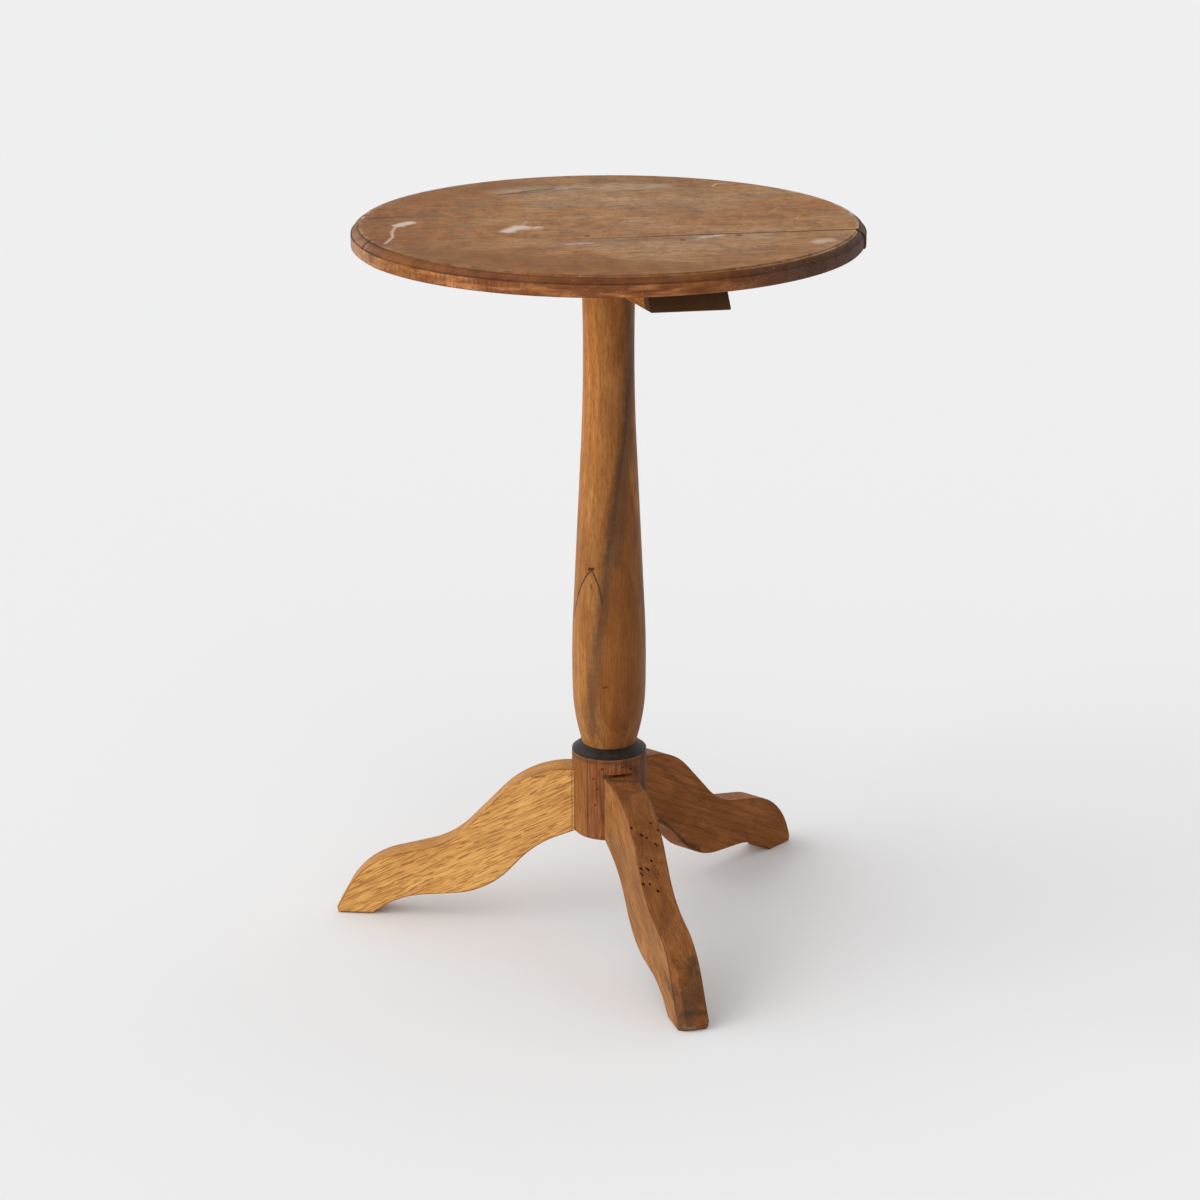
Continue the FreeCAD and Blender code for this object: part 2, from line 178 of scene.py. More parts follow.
class Graph:
    """Writes shader nodes into one node tree."""

    def __init__(self, tree: bpy.types.NodeTree) -> None:
        """Start writing into a tree."""
        self.tree = tree

    def node(self, kind: str, **settings: object) -> bpy.types.Node:
        """Add a node.

        Args:
            kind: The node's type.
            settings: Properties to set on it.

        Returns:
            The new node.
        """
        made = self.tree.nodes.new(kind)
        for name, value in settings.items():
            setattr(made, name, value)
        return made

    def feed(self, socket: Socket, value: Value) -> None:
        """Link a socket to another one, or set its constant.

        Args:
            socket: The input to feed.
            value: A socket, a number, a vector or a tone.
        """
        if isinstance(value, Socket):
            self.tree.links.new(value, socket)
        elif socket.type == "RGBA" and len(value) == 3:
            socket.default_value = (*value, 1.0)
        else:
            socket.default_value = value

    def wired(self, kind: str, inputs: dict, output: Union[int, str] = 0, **settings: object) -> Socket:
        """Add a node and feed it.

        Args:
            kind: The node's type.
            inputs: Values by the inputs' names or numbers.
            output: Name or number of the output that is wanted.
            settings: Properties to set on the node.

        Returns:
            That output.
        """
        made = self.node(kind, **settings)
        for key, value in inputs.items():
            self.feed(made.inputs[key], value)
        return made.outputs[output]

    def math(self, operation: str, *values: Value) -> Socket:
        """One arithmetic step."""
        return self.wired("ShaderNodeMath", dict(enumerate(values)), operation=operation)

    def times(self, first: Value, second: Value, third: Value = 1.0) -> Socket:
        """The product of two or three values."""
        product = self.math("MULTIPLY", first, second)
        return product if third == 1.0 else self.math("MULTIPLY", product, third)

    def line(self, value: Value, gain: Value, base: Value) -> Socket:
        """A value times a gain, plus a base."""
        return self.math("MULTIPLY_ADD", value, gain, base)

    def vector(self, operation: str, first: Value, second: Optional[Value] = None) -> Socket:
        """One vector step.

        Args:
            operation: Its name.
            first: A vector.
            second: A vector, or a factor to scale by.

        Returns:
            The value of dot products and lengths, the vector of other steps.
        """
        inputs = {0: first}
        if second is not None:
            inputs[3 if operation == "SCALE" else 1] = second
        output = 1 if operation in ("DOT_PRODUCT", "LENGTH") else 0
        return self.wired("ShaderNodeVectorMath", inputs, output, operation=operation)

    def stretched(self, vector: Value, factors: Value) -> Socket:
        """A vector with each part multiplied by its own factor."""
        return self.vector("MULTIPLY", vector, factors)

    def ramp(self, value: Value, low: Value, high: Value, smooth: bool = True) -> Socket:
        """Zero at low, one at high; low may be the larger."""
        inputs = {"Value": value, "From Min": low, "From Max": high}
        return self.wired("ShaderNodeMapRange", inputs, "Result",
                          interpolation_type="SMOOTHSTEP" if smooth else "LINEAR")

    def band(self, value: Value, start: float, full: float, fade: float, end: float) -> Socket:
        """One between full and fade, zero before start and after end."""
        return self.times(self.ramp(value, start, full), self.ramp(value, end, fade))

    def noise(self, vector: Value, scale: float, detail: float, distortion: float = 0.0) -> Socket:
        """Fractal noise, mostly between 0.2 and 0.8."""
        inputs = {"Vector": vector, "Scale": scale, "Detail": detail, "Distortion": distortion}
        return self.wired("ShaderNodeTexNoise", inputs)

    def clouds(self, vector: Value, factors: Value, detail: float, distortion: float = 0.0) -> Socket:
        """Fractal noise with a fineness of its own along each axis."""
        return self.noise(self.stretched(vector, factors), 1.0, detail, distortion)

    def mix(self, factor: Value, first: Value, second: Value, blend: str = "MIX") -> Socket:
        """Mix two colours."""
        inputs = {0: factor, 6: first, 7: second}
        return self.wired("ShaderNodeMix", inputs, 2, data_type="RGBA", blend_type=blend)

    def lay(self, colour: Value, over: Value, mask: Value, share: float) -> Socket:
        """Lay a share of another colour over a colour, where a mask is."""
        return self.mix(self.times(mask, share), colour, over)

    def shade(self, colour: Value, tone: Tone) -> Socket:
        """A colour multiplied by a tone."""
        return self.mix(1.0, colour, tone, "MULTIPLY")

    def blend_values(self, factor: Value, first: Value, second: Value) -> Socket:
        """Mix two plain values."""
        return self.wired("ShaderNodeMix", {0: factor, 2: first, 3: second}, data_type="FLOAT")

    def split(self, vector: Value) -> tuple[Socket, Socket, Socket]:
        """The three parts of a vector."""
        made = self.wired("ShaderNodeSeparateXYZ", {0: vector}).node
        return made.outputs[0], made.outputs[1], made.outputs[2]

    def group(self, tree: bpy.types.NodeTree, **inputs: Value) -> dict[str, Socket]:
        """Place a node group and return its outputs by name."""
        made = self.wired("ShaderNodeGroup", inputs, node_tree=tree).node
        return {output.name: output for output in made.outputs}


@dataclass
class Effects:
    """The shared node groups: wood grain, strokes of stain and worm holes."""

    wander: float = 0.02
    late_share: float = 0.40
    figure_length: Point = (0.07, 1.0, 1.0)
    fibre_length: Point = (0.028, 1.0, 1.0)
    fray: float = 3.0
    grain: bpy.types.NodeTree = field(init=False)
    stroke: bpy.types.NodeTree = field(init=False)
    worms: bpy.types.NodeTree = field(init=False)

    def build(self) -> "Effects":
        """Make the groups.

        Returns:
            The same object, with its groups made.
        """
        self.grain = self._grain()
        self.stroke = self._stroke()
        self.worms = self._worms()
        return self

    @staticmethod
    def _group(name: str, inputs: dict[str, str], outputs: Iterable[str]) -> tuple[Graph, dict, dict]:
        """Start a group.

        Args:
            name: The group's name.
            inputs: The kind of each input.
            outputs: The names of its outputs, which are plain values.

        Returns:
            A graph that writes into the group, its inputs and its outputs.
        """
        tree = bpy.data.node_groups.new(name, "ShaderNodeTree")
        for socket, kind in inputs.items():
            tree.interface.new_socket(socket, in_out="INPUT", socket_type="NodeSocket" + kind)
        for socket in outputs:
            tree.interface.new_socket(socket, in_out="OUTPUT", socket_type="NodeSocketFloat")
        graph = Graph(tree)
        entry = graph.node("NodeGroupInput").outputs
        leave = graph.node("NodeGroupOutput").inputs
        return graph, {socket.name: socket for socket in entry}, {socket.name: socket for socket in leave}

    def _grain(self) -> bpy.types.NodeTree:
        """Figure, fibre, pores and mottle of wood whose grain runs along the vector's X.

        Returns:
            The group.
        """
        inputs = {"Vector": "Vector", "Pith": "Vector", "Rings": "Float", "Figure": "Float", "Fibre": "Float",
                  "Pores": "Float", "Stretch": "Vector", "Blotch": "Vector"}
        graph, given, out = self._group("wood_grain", inputs, ("Figure", "Fibre", "Pores", "Mottle"))
        bend = graph.times(graph.clouds(given["Vector"], (3.0, 9.0, 9.0), 2.0), self.wander)
        shifted = graph.vector("ADD", given["Vector"], graph.vector("SCALE", (0.0, 1.0, 0.6), bend))
        core = graph.stretched(graph.vector("SUBTRACT", shifted, given["Pith"]), (0.05, 1.0, 1.0))
        turns = graph.times(graph.vector("LENGTH", core), given["Rings"])
        turns = graph.math("ADD", turns, graph.clouds(shifted, (6.0, 40.0, 40.0), 3.0))
        late = graph.ramp(graph.math("FRACT", turns), 0.05, 0.95)
        cloud = graph.vector("SCALE", graph.stretched(shifted, self.figure_length), given["Figure"])
        cloud = graph.ramp(graph.noise(cloud, 1.0, 5.0, 0.4), 0.28, 0.72)
        fibre = graph.vector("SCALE", graph.stretched(shifted, self.fibre_length), given["Fibre"])
        pores = graph.vector("SCALE", graph.stretched(shifted, given["Stretch"]), given["Pores"])
        blotch = graph.clouds(shifted, given["Blotch"], 6.0, 0.6)
        figure = graph.line(graph.math("SUBTRACT", late, cloud), self.late_share, cloud)
        graph.feed(out["Figure"], figure)
        graph.feed(out["Fibre"], graph.ramp(graph.noise(fibre, 1.0, 4.0), 0.34, 0.66))
        graph.feed(out["Pores"], graph.ramp(graph.noise(pores, 1.0, 1.0), 0.54, 0.61))
        graph.feed(out["Mottle"], graph.ramp(blotch, 0.40, 0.66))
        return graph.tree

    def _stroke(self) -> bpy.types.NodeTree:
        """A ragged mark along the line between two points.

        Returns:
            The group.
        """
        inputs = {"Vector": "Vector", "Start": "Vector", "End": "Vector", "Width": "Float",
                  "Softness": "Float", "Wobble": "Float", "Raggedness": "Float", "Strength": "Float"}
        graph, given, out = self._group("stain_stroke", inputs, ("Mask",))
        offset = graph.vector("SUBTRACT", given["Vector"], given["Start"])
        line = graph.vector("SUBTRACT", given["End"], given["Start"])
        length = graph.math("MAXIMUM", graph.vector("DOT_PRODUCT", line, line), 1e-9)
        share = graph.math("DIVIDE", graph.vector("DOT_PRODUCT", offset, line), length)
        share = graph.ramp(share, 0.0, 1.0, smooth=False)
        away = graph.vector("LENGTH", graph.vector("SUBTRACT", offset, graph.vector("SCALE", line, share)))
        wobble = graph.times(graph.math("SUBTRACT", given["Wobble"], 0.5), given["Raggedness"], self.fray)
        reach = graph.math("ADD", graph.math("DIVIDE", away, given["Width"]), wobble)
        mask = graph.ramp(reach, 1.0, graph.math("SUBTRACT", 0.98, given["Softness"]))
        graph.feed(out["Mask"], graph.times(mask, given["Strength"]))
        return graph.tree

    def _worms(self) -> bpy.types.NodeTree:
        """Small round flight holes in some of the cells.

        Returns:
            The group.
        """
        inputs = {"Vector": "Vector", "Scale": "Float", "Share": "Float"}
        graph, given, out = self._group("worm_holes", inputs, ("Mask",))
        sown = {"Vector": given["Vector"], "Scale": given["Scale"]}
        cells = graph.wired("ShaderNodeTexVoronoi", sown).node.outputs
        pick, size, _ = graph.split(cells["Color"])
        radius = graph.line(size, 0.16, 0.12)
        hole = graph.ramp(cells["Distance"], radius, graph.times(radius, 0.6))
        graph.feed(out["Mask"], graph.times(hole, graph.math("LESS_THAN", pick, given["Share"])))
        return graph.tree


@dataclass(frozen=True)
class Mark:
    """One stroke of stain between two points, in millimetres."""

    stain: Stain
    start: Point
    end: Point
    width: float
    softness: float
    raggedness: float
    strength: float = 1.0


def strokes(stain: Stain, place: Callable[..., Point], rows: Iterable[tuple]) -> Iterator[Mark]:
    """Separate marks of one stain.

    Args:
        stain: What the marks are.
        place: Turns the start or end in a row into a point of the table.
        rows: Start, end, width, softness, raggedness and strength of each mark.

    Returns:
        The marks.
    """
    for start, end, *brush in rows:
        yield Mark(stain, place(*start), place(*end), *brush)


def trail(stain: Stain, points: list[Point], *brush: float) -> Iterator[Mark]:
    """Marks from each point to the next, with one width, softness, raggedness and strength."""
    for start, end in zip(points, points[1:]):
        yield Mark(stain, start, end, *brush)


Masks = dict[Stain, Socket]


@dataclass(frozen=True)
class WormPatch:
    """A stretch of wood with flight holes: cells per metre, and the share of the cells with a hole."""

    start: Point
    end: Point
    width: float
    scale: float
    share: float


def in_metres(point: Point) -> Point:
    """A point given in millimetres, in metres."""
    return point[0] * MM, point[1] * MM, point[2] * MM


class WoodGraph(Graph):
    """The graph of a wood, with the point that is shaded and the grain there."""

    def __init__(self, tree: bpy.types.NodeTree, effects: Effects) -> None:
        """Find the point, and make the noises that fray the marks.

        Args:
            tree: The material's node tree.
            effects: The shared node groups.
        """
        super().__init__(tree)
        self.effects = effects
        self.point = self.node("ShaderNodeTexCoord").outputs["Object"]
        self.x, _, self.z = self.split(self.point)
        self.rags = {size: self.noise(self.point, RAG_FINENESS / (size * MM), 4.0) for size in RAG_SIZES}
        self.grain: dict[str, Socket] = {}

    def reach(self, direction: Point) -> Socket:
        """How far the point lies in a direction."""
        return self.vector("DOT_PRODUCT", self.point, direction)

    def stroke(self, mark: Mark) -> Socket:
        """Draw a mark, frayed by the noise that is nearest to it in size.

        Args:
            mark: The stroke of stain.

        Returns:
            Its mask.
        """
        size = min(RAG_SIZES, key=lambda rag: abs(math.log(rag / mark.width)))
        return self.group(
            self.effects.stroke, Vector=self.point, Start=in_metres(mark.start), End=in_metres(mark.end),
            Width=mark.width * MM, Softness=mark.softness, Wobble=self.rags[size],
            Raggedness=mark.raggedness, Strength=mark.strength)["Mask"]

    def worm_holes(self, patch: WormPatch) -> Socket:
        """Draw flight holes.

        Args:
            patch: Where they are.

        Returns:
            Their mask.
        """
        holes = self.group(self.effects.worms, Vector=self.point, Scale=patch.scale, Share=patch.share)
        region = Mark(Stain.HOLE, patch.start, patch.end, patch.width, softness=0.3, raggedness=0.4)
        return self.times(self.stroke(region), holes["Mask"])


def start_material(name: str) -> tuple[bpy.types.Material, bpy.types.Node]:
    """Make a material.

    Args:
        name: The material's name.

    Returns:
        The material and its surface shader.
    """
    material = bpy.data.materials.new(name)
    material.use_nodes = True
    return material, material.node_tree.nodes["Principled BSDF"]


@dataclass(frozen=True)
class WoodFinish:
    """A worn, waxed wood with its marks. The tones mottled and fibred multiply the wood's own."""

    name: str
    light: Tone
    dark: Tone
    pore: Tone
    along: Point
    pith: Point = (0.0, 60.0, 90.0)
    rings: float = 160.0
    figure: float = 60.0
    fibre: float = 700.0
    pores: float = 900.0
    stretch: float = 0.05
    blotch: Point = (26.0, 60.0, 60.0)
    mottled: Tone = (0.66, 0.57, 0.48)
    fibred: Tone = (0.58, 0.50, 0.42)
    fibre_depth: float = 0.45
    pore_depth: float = 0.35
    mottle_depth: float = 0.45
    roughness: float = 0.50
    sheen: float = 0.12
    fibre_roughness: float = 0.10
    fibre_relief: float = 0.25
    pore_relief: float = 0.6
    hole_relief: float = 1.5
    relief_height: float = 0.5
    marks: tuple[Mark, ...] = ()
    worms: tuple[WormPatch, ...] = ()

    def build(self, effects: Effects) -> bpy.types.Material:
        """Write the material.

        Args:
            effects: The shared node groups.

        Returns:
            The finished material.
        """
        material, surface = start_material(self.name)
        graph = WoodGraph(material.node_tree, effects)
        graph.grain = graph.group(
            effects.grain, Vector=self._aligned(graph), Pith=in_metres(self.pith), Rings=self.rings,
            Figure=self.figure, Fibre=self.fibre, Pores=self.pores, Stretch=(self.stretch, 1.0, 1.0),
            Blotch=self.blotch,
        )
        masks = self._masks(graph)
        smoothest = self.roughness - self.fibre_roughness / 2
        rough = graph.line(graph.grain["Fibre"], self.fibre_roughness, smoothest)
        for stain, mask in masks.items():
            rough = graph.blend_values(mask, rough, stain.roughness)
        graph.feed(surface.inputs["Base Color"], self._coloured(graph, masks))
        graph.feed(surface.inputs["Roughness"], rough)
        graph.feed(surface.inputs["Normal"], self._relief(graph, masks))
        surface.inputs["Specular IOR Level"].default_value = self.sheen
        return material

    def tint(self, graph: WoodGraph, colour: Socket) -> Socket:
        """Broad changes of colour over the piece; none here."""
        return colour

    def _aligned(self, graph: WoodGraph) -> Socket:
        """Turn the point into the grain's frame.

        Args:
            graph: The material's graph.

        Returns:
            The point in a frame whose X runs along the grain.
        """
        along = Vector(self.along).normalized()
        upright = abs(along.z) > 0.9
        side = along.cross(Vector((1, 0, 0)) if upright else Vector((0, 0, 1))).normalized()
        axes = (along, side, along.cross(side))
        parts = {i: graph.reach(tuple(axis)) for i, axis in enumerate(axes)}
        return graph.wired("ShaderNodeCombineXYZ", parts)

    def _coloured(self, graph: WoodGraph, masks: Masks) -> Socket:
        """Mix the wood's colour.

        Args:
            graph: The material's graph.
            masks: The mask of each stain.

        Returns:
            The colour, with soaked stains under the grain and the others over it.
        """
        grain = graph.grain
        colour = self.tint(graph, graph.mix(grain["Figure"], self.dark, self.light))
        for stain in (s for s in masks if s.soaked):
            colour = graph.mix(masks[stain], colour, stain.colour)
        colour = graph.lay(colour, graph.shade(colour, self.mottled), grain["Mottle"], self.mottle_depth)
        colour = graph.lay(colour, graph.shade(colour, self.fibred), grain["Fibre"], self.fibre_depth)
        colour = graph.lay(colour, self.pore, grain["Pores"], self.pore_depth)
        for stain in (s for s in masks if not s.soaked):
            colour = graph.mix(masks[stain], colour, stain.colour)
        return colour

    def _relief(self, graph: WoodGraph, masks: Masks) -> Socket:
        """Sink the pores, the fibre and the holes.

        Args:
            graph: The material's graph.
            masks: The mask of each stain.

        Returns:
            The normal.
        """
        fibre = graph.times(graph.grain["Fibre"], -self.fibre_relief * self.fibre_depth)
        height = graph.line(graph.grain["Pores"], -self.pore_relief * self.pore_depth, fibre)
        if Stain.HOLE in masks:
            height = graph.line(masks[Stain.HOLE], -self.hole_relief, height)
        inputs = {"Strength": 0.5, "Distance": self.relief_height * MM, "Height": height}
        return graph.wired("ShaderNodeBump", inputs, "Normal")

    def _masks(self, graph: WoodGraph) -> Masks:
        """Gather the marks and the worm holes by stain.

        Args:
            graph: The material's graph.

        Returns:
            The mask of each stain that the piece has, in the order of the stains.
        """
        masks = {}
        for stain in Stain:
            drawn = [graph.stroke(mark) for mark in self.marks if mark.stain is stain]
            if stain is Stain.HOLE:
                drawn += [graph.worm_holes(patch) for patch in self.worms]
            for mask in drawn:
                masks[stain] = graph.math("MAXIMUM", masks[stain], mask) if stain in masks else mask
        return masks


@dataclass(frozen=True)
class TopFinish(WoodFinish):
    """The boards of the top: face, moulded rim and raw underside. The darkening tones multiply."""

    orange: Tone = (0.34, 0.130, 0.037)
    faded: Tone = (0.40, 0.245, 0.135)
    greyed: Tone = (0.235, 0.150, 0.092)
    dusty: Tone = (0.52, 0.40, 0.29)
    rim_light: Tone = (0.52, 0.215, 0.082)
    rim_dark: Tone = (0.205, 0.067, 0.028)
    rim_pale: Tone = (0.45, 0.27, 0.155)
    # Dark stain and painted shade at the right end of the rim.
    rim_stain_and_shade: Tone = (0.085, 0.050, 0.038)
    rim_chipped: Tone = (0.42, 0.22, 0.10)
    raw: Tone = (0.15, 0.085, 0.045)
    outer_darkening: Tone = (0.82, 0.78, 0.72)
    fleck_darkening: Tone = (0.70, 0.66, 0.62)
    ledge_darkening: Tone = (0.68, 0.66, 0.74)
    faded_share: float = 0.60
    orange_share: float = 0.80
    greyed_share: float = 0.55
    outer_share: float = 0.80
    fleck_share: float = 0.60
    dusty_share: float = 0.35
    stain_and_shade_share: float = 0.90
    chipped_share: float = 0.70

    def tint(self, graph: WoodGraph, colour: Socket) -> Socket:
        """Colour the face, the stained rim with its grooves darkened by grime and painted shade, and the raw
        underside.

        Args:
            graph: The material's graph.
            colour: The wood's plain colour.

        Returns:
            The colour of the whole board.
        """
        point, z = graph.point, graph.z
        radius = graph.vector("LENGTH", graph.stretched(point, (1.0, 1.0, 0.0)))
        arris, foot, underside = ARRIS_RADIUS * MM, BAND_FOOT * MM, TOP_UNDERSIDE * MM
        colour = self._faced(graph, radius, colour)
        beyond = graph.ramp(radius, arris - 0.0004, arris + 0.0001, smooth=False)
        colour = graph.mix(beyond, colour, self._rim(graph))
        # Dark lines in the quirk below the arris and at the foot of the band: grime, and painted shade in
        # these grooves.
        quirk = graph.band(radius, arris - 0.0003, arris + 0.0001, arris + 0.0005, arris + 0.0019)
        step = graph.band(z, foot - 0.0016, foot - 0.0004, foot + 0.0001, foot + 0.0006)
        step = graph.times(step, graph.ramp(radius, arris + 0.0023, arris + 0.0043))
        broken = graph.line(graph.ramp(graph.noise(point, 90.0, 3.0), 0.34, 0.58), 0.45, 0.45)
        grime_and_shade = graph.times(graph.math("MAXIMUM", quirk, step), broken)
        colour = graph.mix(grime_and_shade, colour, Stain.GRIME_AND_SHADE.colour)
        below = graph.ramp(z, underside + 0.0005, underside + 0.0001, smooth=False)
        return graph.mix(below, colour, self.raw)

    def _faced(self, graph: WoodGraph, radius: Socket, colour: Socket) -> Socket:
        """Lay orange, faded and greyed clouds over the face, with a pale arris towards both ends: partly
        rubbed wear, partly a painted highlight.

        Args:
            graph: The material's graph.
            radius: The point's distance from the table's axis.
            colour: The wood's plain colour.

        Returns:
            The face's colour.
        """
        point, x = graph.point, graph.x
        broad = graph.clouds(point, (6.0, 9.0, 1.0), 7.0, 0.5)
        other = graph.clouds(point, (17.0, 20.0, 7.0), 7.0, 0.6)
        speckle = graph.clouds(point, (190.0, 90.0, 1.0), 4.0, 0.3)
        middle = graph.times(graph.ramp(radius, 0.235, 0.08), graph.ramp(broad, 0.42, 0.62))
        colour = graph.lay(colour, self.faded, middle, self.faded_share)
        outwards = graph.line(graph.ramp(radius, 0.06, 0.22), 0.5, 0.5)
        outwards = graph.times(outwards, graph.ramp(broad, 0.60, 0.40))
        colour = graph.lay(colour, self.orange, outwards, self.orange_share)
        colour = graph.lay(colour, self.greyed, graph.ramp(other, 0.50, 0.68), self.greyed_share)
        outer = graph.times(graph.ramp(radius, 0.10, 0.21), graph.ramp(x, 0.17, 0.06))
        colour = graph.lay(colour, graph.shade(colour, self.outer_darkening), outer, self.outer_share)
        flecks = graph.ramp(speckle, 0.47, 0.66)
        colour = graph.lay(colour, graph.shade(colour, self.fleck_darkening), flecks, self.fleck_share)
        dust = graph.ramp(graph.clouds(point, (420.0, 420.0, 1.0), 3.0), 0.63, 0.74)
        colour = graph.lay(colour, self.dusty, dust, self.dusty_share)
        # Pale band along the arris, strongest towards both ends: rubbed wear, and a painted highlight on the
        # arris.
        arris = ARRIS_RADIUS * MM
        edge = graph.band(radius, arris - 0.0047, arris - 0.0005, arris - 0.0001, arris + 0.0002)
        rubbed = graph.ramp(graph.noise(point, 70.0, 4.0), 0.58, 0.42)
        ends = graph.line(graph.ramp(graph.math("ABSOLUTE", x), 0.12, 0.215), 0.5, 0.08)
        return graph.mix(graph.times(edge, rubbed, ends), colour, Stain.SCUFF_AND_HIGHLIGHT.colour)

    def _rim(self, graph: WoodGraph) -> Socket:
        """Colour the moulded edge.

        Args:
            graph: The material's graph.

        Returns:
            Pale flame at the left end, red-brown in front, darkest at the right with stain and painted shade,
            with a darker ledge.
        """
        point, x, z = graph.point, graph.x, graph.z
        foot = BAND_FOOT * MM
        flame = graph.ramp(graph.clouds(point, (330.0, 330.0, 70.0), 3.0), 0.42, 0.60)
        cloud = graph.ramp(graph.clouds(point, (22.0, 22.0, 130.0), 4.0, 0.4), 0.40, 0.62)
        lower = graph.ramp(z, foot + 0.0003, foot - 0.0012)
        flaming = graph.times(graph.ramp(x, 0.02, -0.20), flame)
        clouded = graph.times(cloud, graph.line(lower, 0.6, 0.2))
        tone = graph.line(flaming, graph.line(lower, 0.24, 0.06), clouded)
        # Darker towards the right end: dark staining, and painted shade on the side away from the light.
        tone = graph.times(tone, graph.ramp(x, 0.22, 0.02))
        colour = graph.mix(tone, self.rim_dark, self.rim_light)
        pale = graph.times(graph.ramp(x, -0.185, -0.235), graph.line(flame, 0.4, 0.5))
        colour = graph.mix(pale, colour, self.rim_pale)
        colour = graph.mix(lower, graph.shade(colour, self.ledge_darkening), colour)
        colour = graph.lay(colour, self.rim_stain_and_shade, graph.ramp(x, 0.08, 0.18), self.stain_and_shade_share)
        chips = graph.ramp(graph.clouds(point, (260.0, 260.0, 420.0), 2.0), 0.68, 0.74)
        return graph.lay(colour, self.rim_chipped, chips, self.chipped_share)


@dataclass(frozen=True)
class LegFinish(WoodFinish):
    """A sawn leg: planed sides, edges in a tone of their own, and darker chamfers between them, in metres."""

    side: LegSide = LegSide.LEFT
    edge: Tone = (0.3, 0.2, 0.1)
    edge_figure: float = 0.72
    chamfer: float = 0.0016
    arris: float = 0.0003
    chamfer_darkening: Tone = (0.60, 0.53, 0.47)

    def tint(self, graph: WoodGraph, colour: Socket) -> Socket:
        """Colour the edges between the two sides, and the chamfers.

        Args:
            graph: The material's graph.
            colour: The sides' colour.

        Returns:
            The colour of the whole leg.
        """
        lateral = graph.math("ABSOLUTE", graph.reach(self.side.rightwards))
        limit = LEG_HALF_THICKNESS * MM
        edge = graph.mix(graph.grain["Figure"], self.edge, tuple(self.edge_figure * v for v in self.edge))
        inner, middle, outer = limit - self.chamfer, limit - self.chamfer / 2, limit - self.arris
        colour = graph.mix(graph.ramp(lateral, outer, limit - self.arris / 3), edge, colour)
        chamfer = graph.band(lateral, inner, middle, outer, limit)
        worn = graph.ramp(graph.noise(graph.point, 60.0, 3.0), 0.36, 0.60)
        darker = graph.shade(colour, self.chamfer_darkening)
        return graph.mix(graph.times(chamfer, worn), colour, darker)


@dataclass(frozen=True)
class ColumnFinish(WoodFinish):
    """The column's wood: redder beyond its dark streak, with painted light on the head's lit side. Both tones
    multiply.

    The heights between which they come in are in metres.
    """

    red_azimuth: float = 325.0
    red_heights: tuple[float, float] = (0.52, 0.30)
    lit_head_heights: tuple[float, float] = (0.38, 0.62)
    redder: Tone = (0.66, 0.56, 0.48)
    # The painted light on the head's lit side.
    lighter: Tone = (1.80, 1.72, 1.48)

    def tint(self, graph: WoodGraph, colour: Socket) -> Socket:
        """Colour the redder side, and paint light on the head's lit side.

        Args:
            graph: The material's graph.
            colour: The wood's plain colour.

        Returns:
            The colour of the whole column.
        """
        beyond = graph.reach(polar(self.red_azimuth, 1.0, 0.0))
        low = graph.line(graph.ramp(graph.z, *self.red_heights), 0.4, 0.6)
        share = graph.times(graph.ramp(beyond, 0.002, 0.020), low)
        # Painted light: the head under the top is lightened on the side towards the light.
        head = graph.times(graph.ramp(graph.z, *self.lit_head_heights), graph.ramp(beyond, 0.020, -0.008))
        reddened = graph.mix(share, colour, graph.shade(colour, self.redder))
        return graph.mix(head, reddened, graph.shade(colour, self.lighter))


@dataclass(frozen=True)
class HubFinish(WoodFinish):
    """The hub's wood, lighter beside the left leg."""

    joint_azimuth: float = 234.0
    lighter: Tone = (0.31, 0.127, 0.036)
    stave_share: float = 0.75
    joint_share: float = 0.80

    def tint(self, graph: WoodGraph, colour: Socket) -> Socket:
        """Colour a lighter stave on the left, up to a dark joint line.

        Args:
            graph: The material's graph.
            colour: The wood's plain colour.

        Returns:
            The colour of the whole hub.
        """
        beyond = graph.reach(turned(self.joint_azimuth, 0.0, -1.0, 0.0))
        colour = graph.lay(colour, self.lighter, graph.ramp(beyond, -0.0002, 0.0006), self.stave_share)
        joint = graph.band(beyond, -0.0009, -0.0001, 0.0, 0.0007)
        return graph.lay(colour, Stain.GRIME_AND_SHADE.colour, joint, self.joint_share)


@dataclass(frozen=True)
class PlainFinish:
    """A plain finish with a little unevenness."""

    name: str
    colour: Tone
    worn: Tone
    roughness: float
    metallic: float = 0.0
    sheen: float = 0.25

    def build(self) -> bpy.types.Material:
        """Write the material.

        Returns:
            The finished material.
        """
        material, surface = start_material(self.name)
        graph = Graph(material.node_tree)
        point = graph.node("ShaderNodeTexCoord").outputs["Object"]
        uneven = graph.ramp(graph.noise(point, 140.0, 4.0), 0.40, 0.72)
        graph.feed(surface.inputs["Base Color"], graph.mix(uneven, self.colour, self.worn))
        graph.feed(surface.inputs["Roughness"], graph.line(uneven, 0.15, self.roughness))
        surface.inputs["Metallic"].default_value = self.metallic
        surface.inputs["Specular IOR Level"].default_value = self.sheen
        return material


def dress_node(name: str, material: bpy.types.Material) -> None:
    """Give a CAD node its one material.

    Args:
        name: The node.
        material: What it is made of.
    """
    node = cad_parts[name]
    node.data.materials.clear()
    node.data.materials.append(material)
    LOG.info("dressed %s with %s", name, material.name)


def new_object(name: str, work: bmesh.types.BMesh) -> bpy.types.Object:
    """Turn finished geometry into an object at the origin.

    Args:
        name: Name of the object and of its mesh.
        work: The geometry, which is freed.

    Returns:
        The object, in the scene.
    """
    mesh = bpy.data.meshes.new(name)
    work.to_mesh(mesh)
    work.free()
    made = bpy.data.objects.new(name, mesh)
    bpy.context.scene.collection.objects.link(made)
    return made


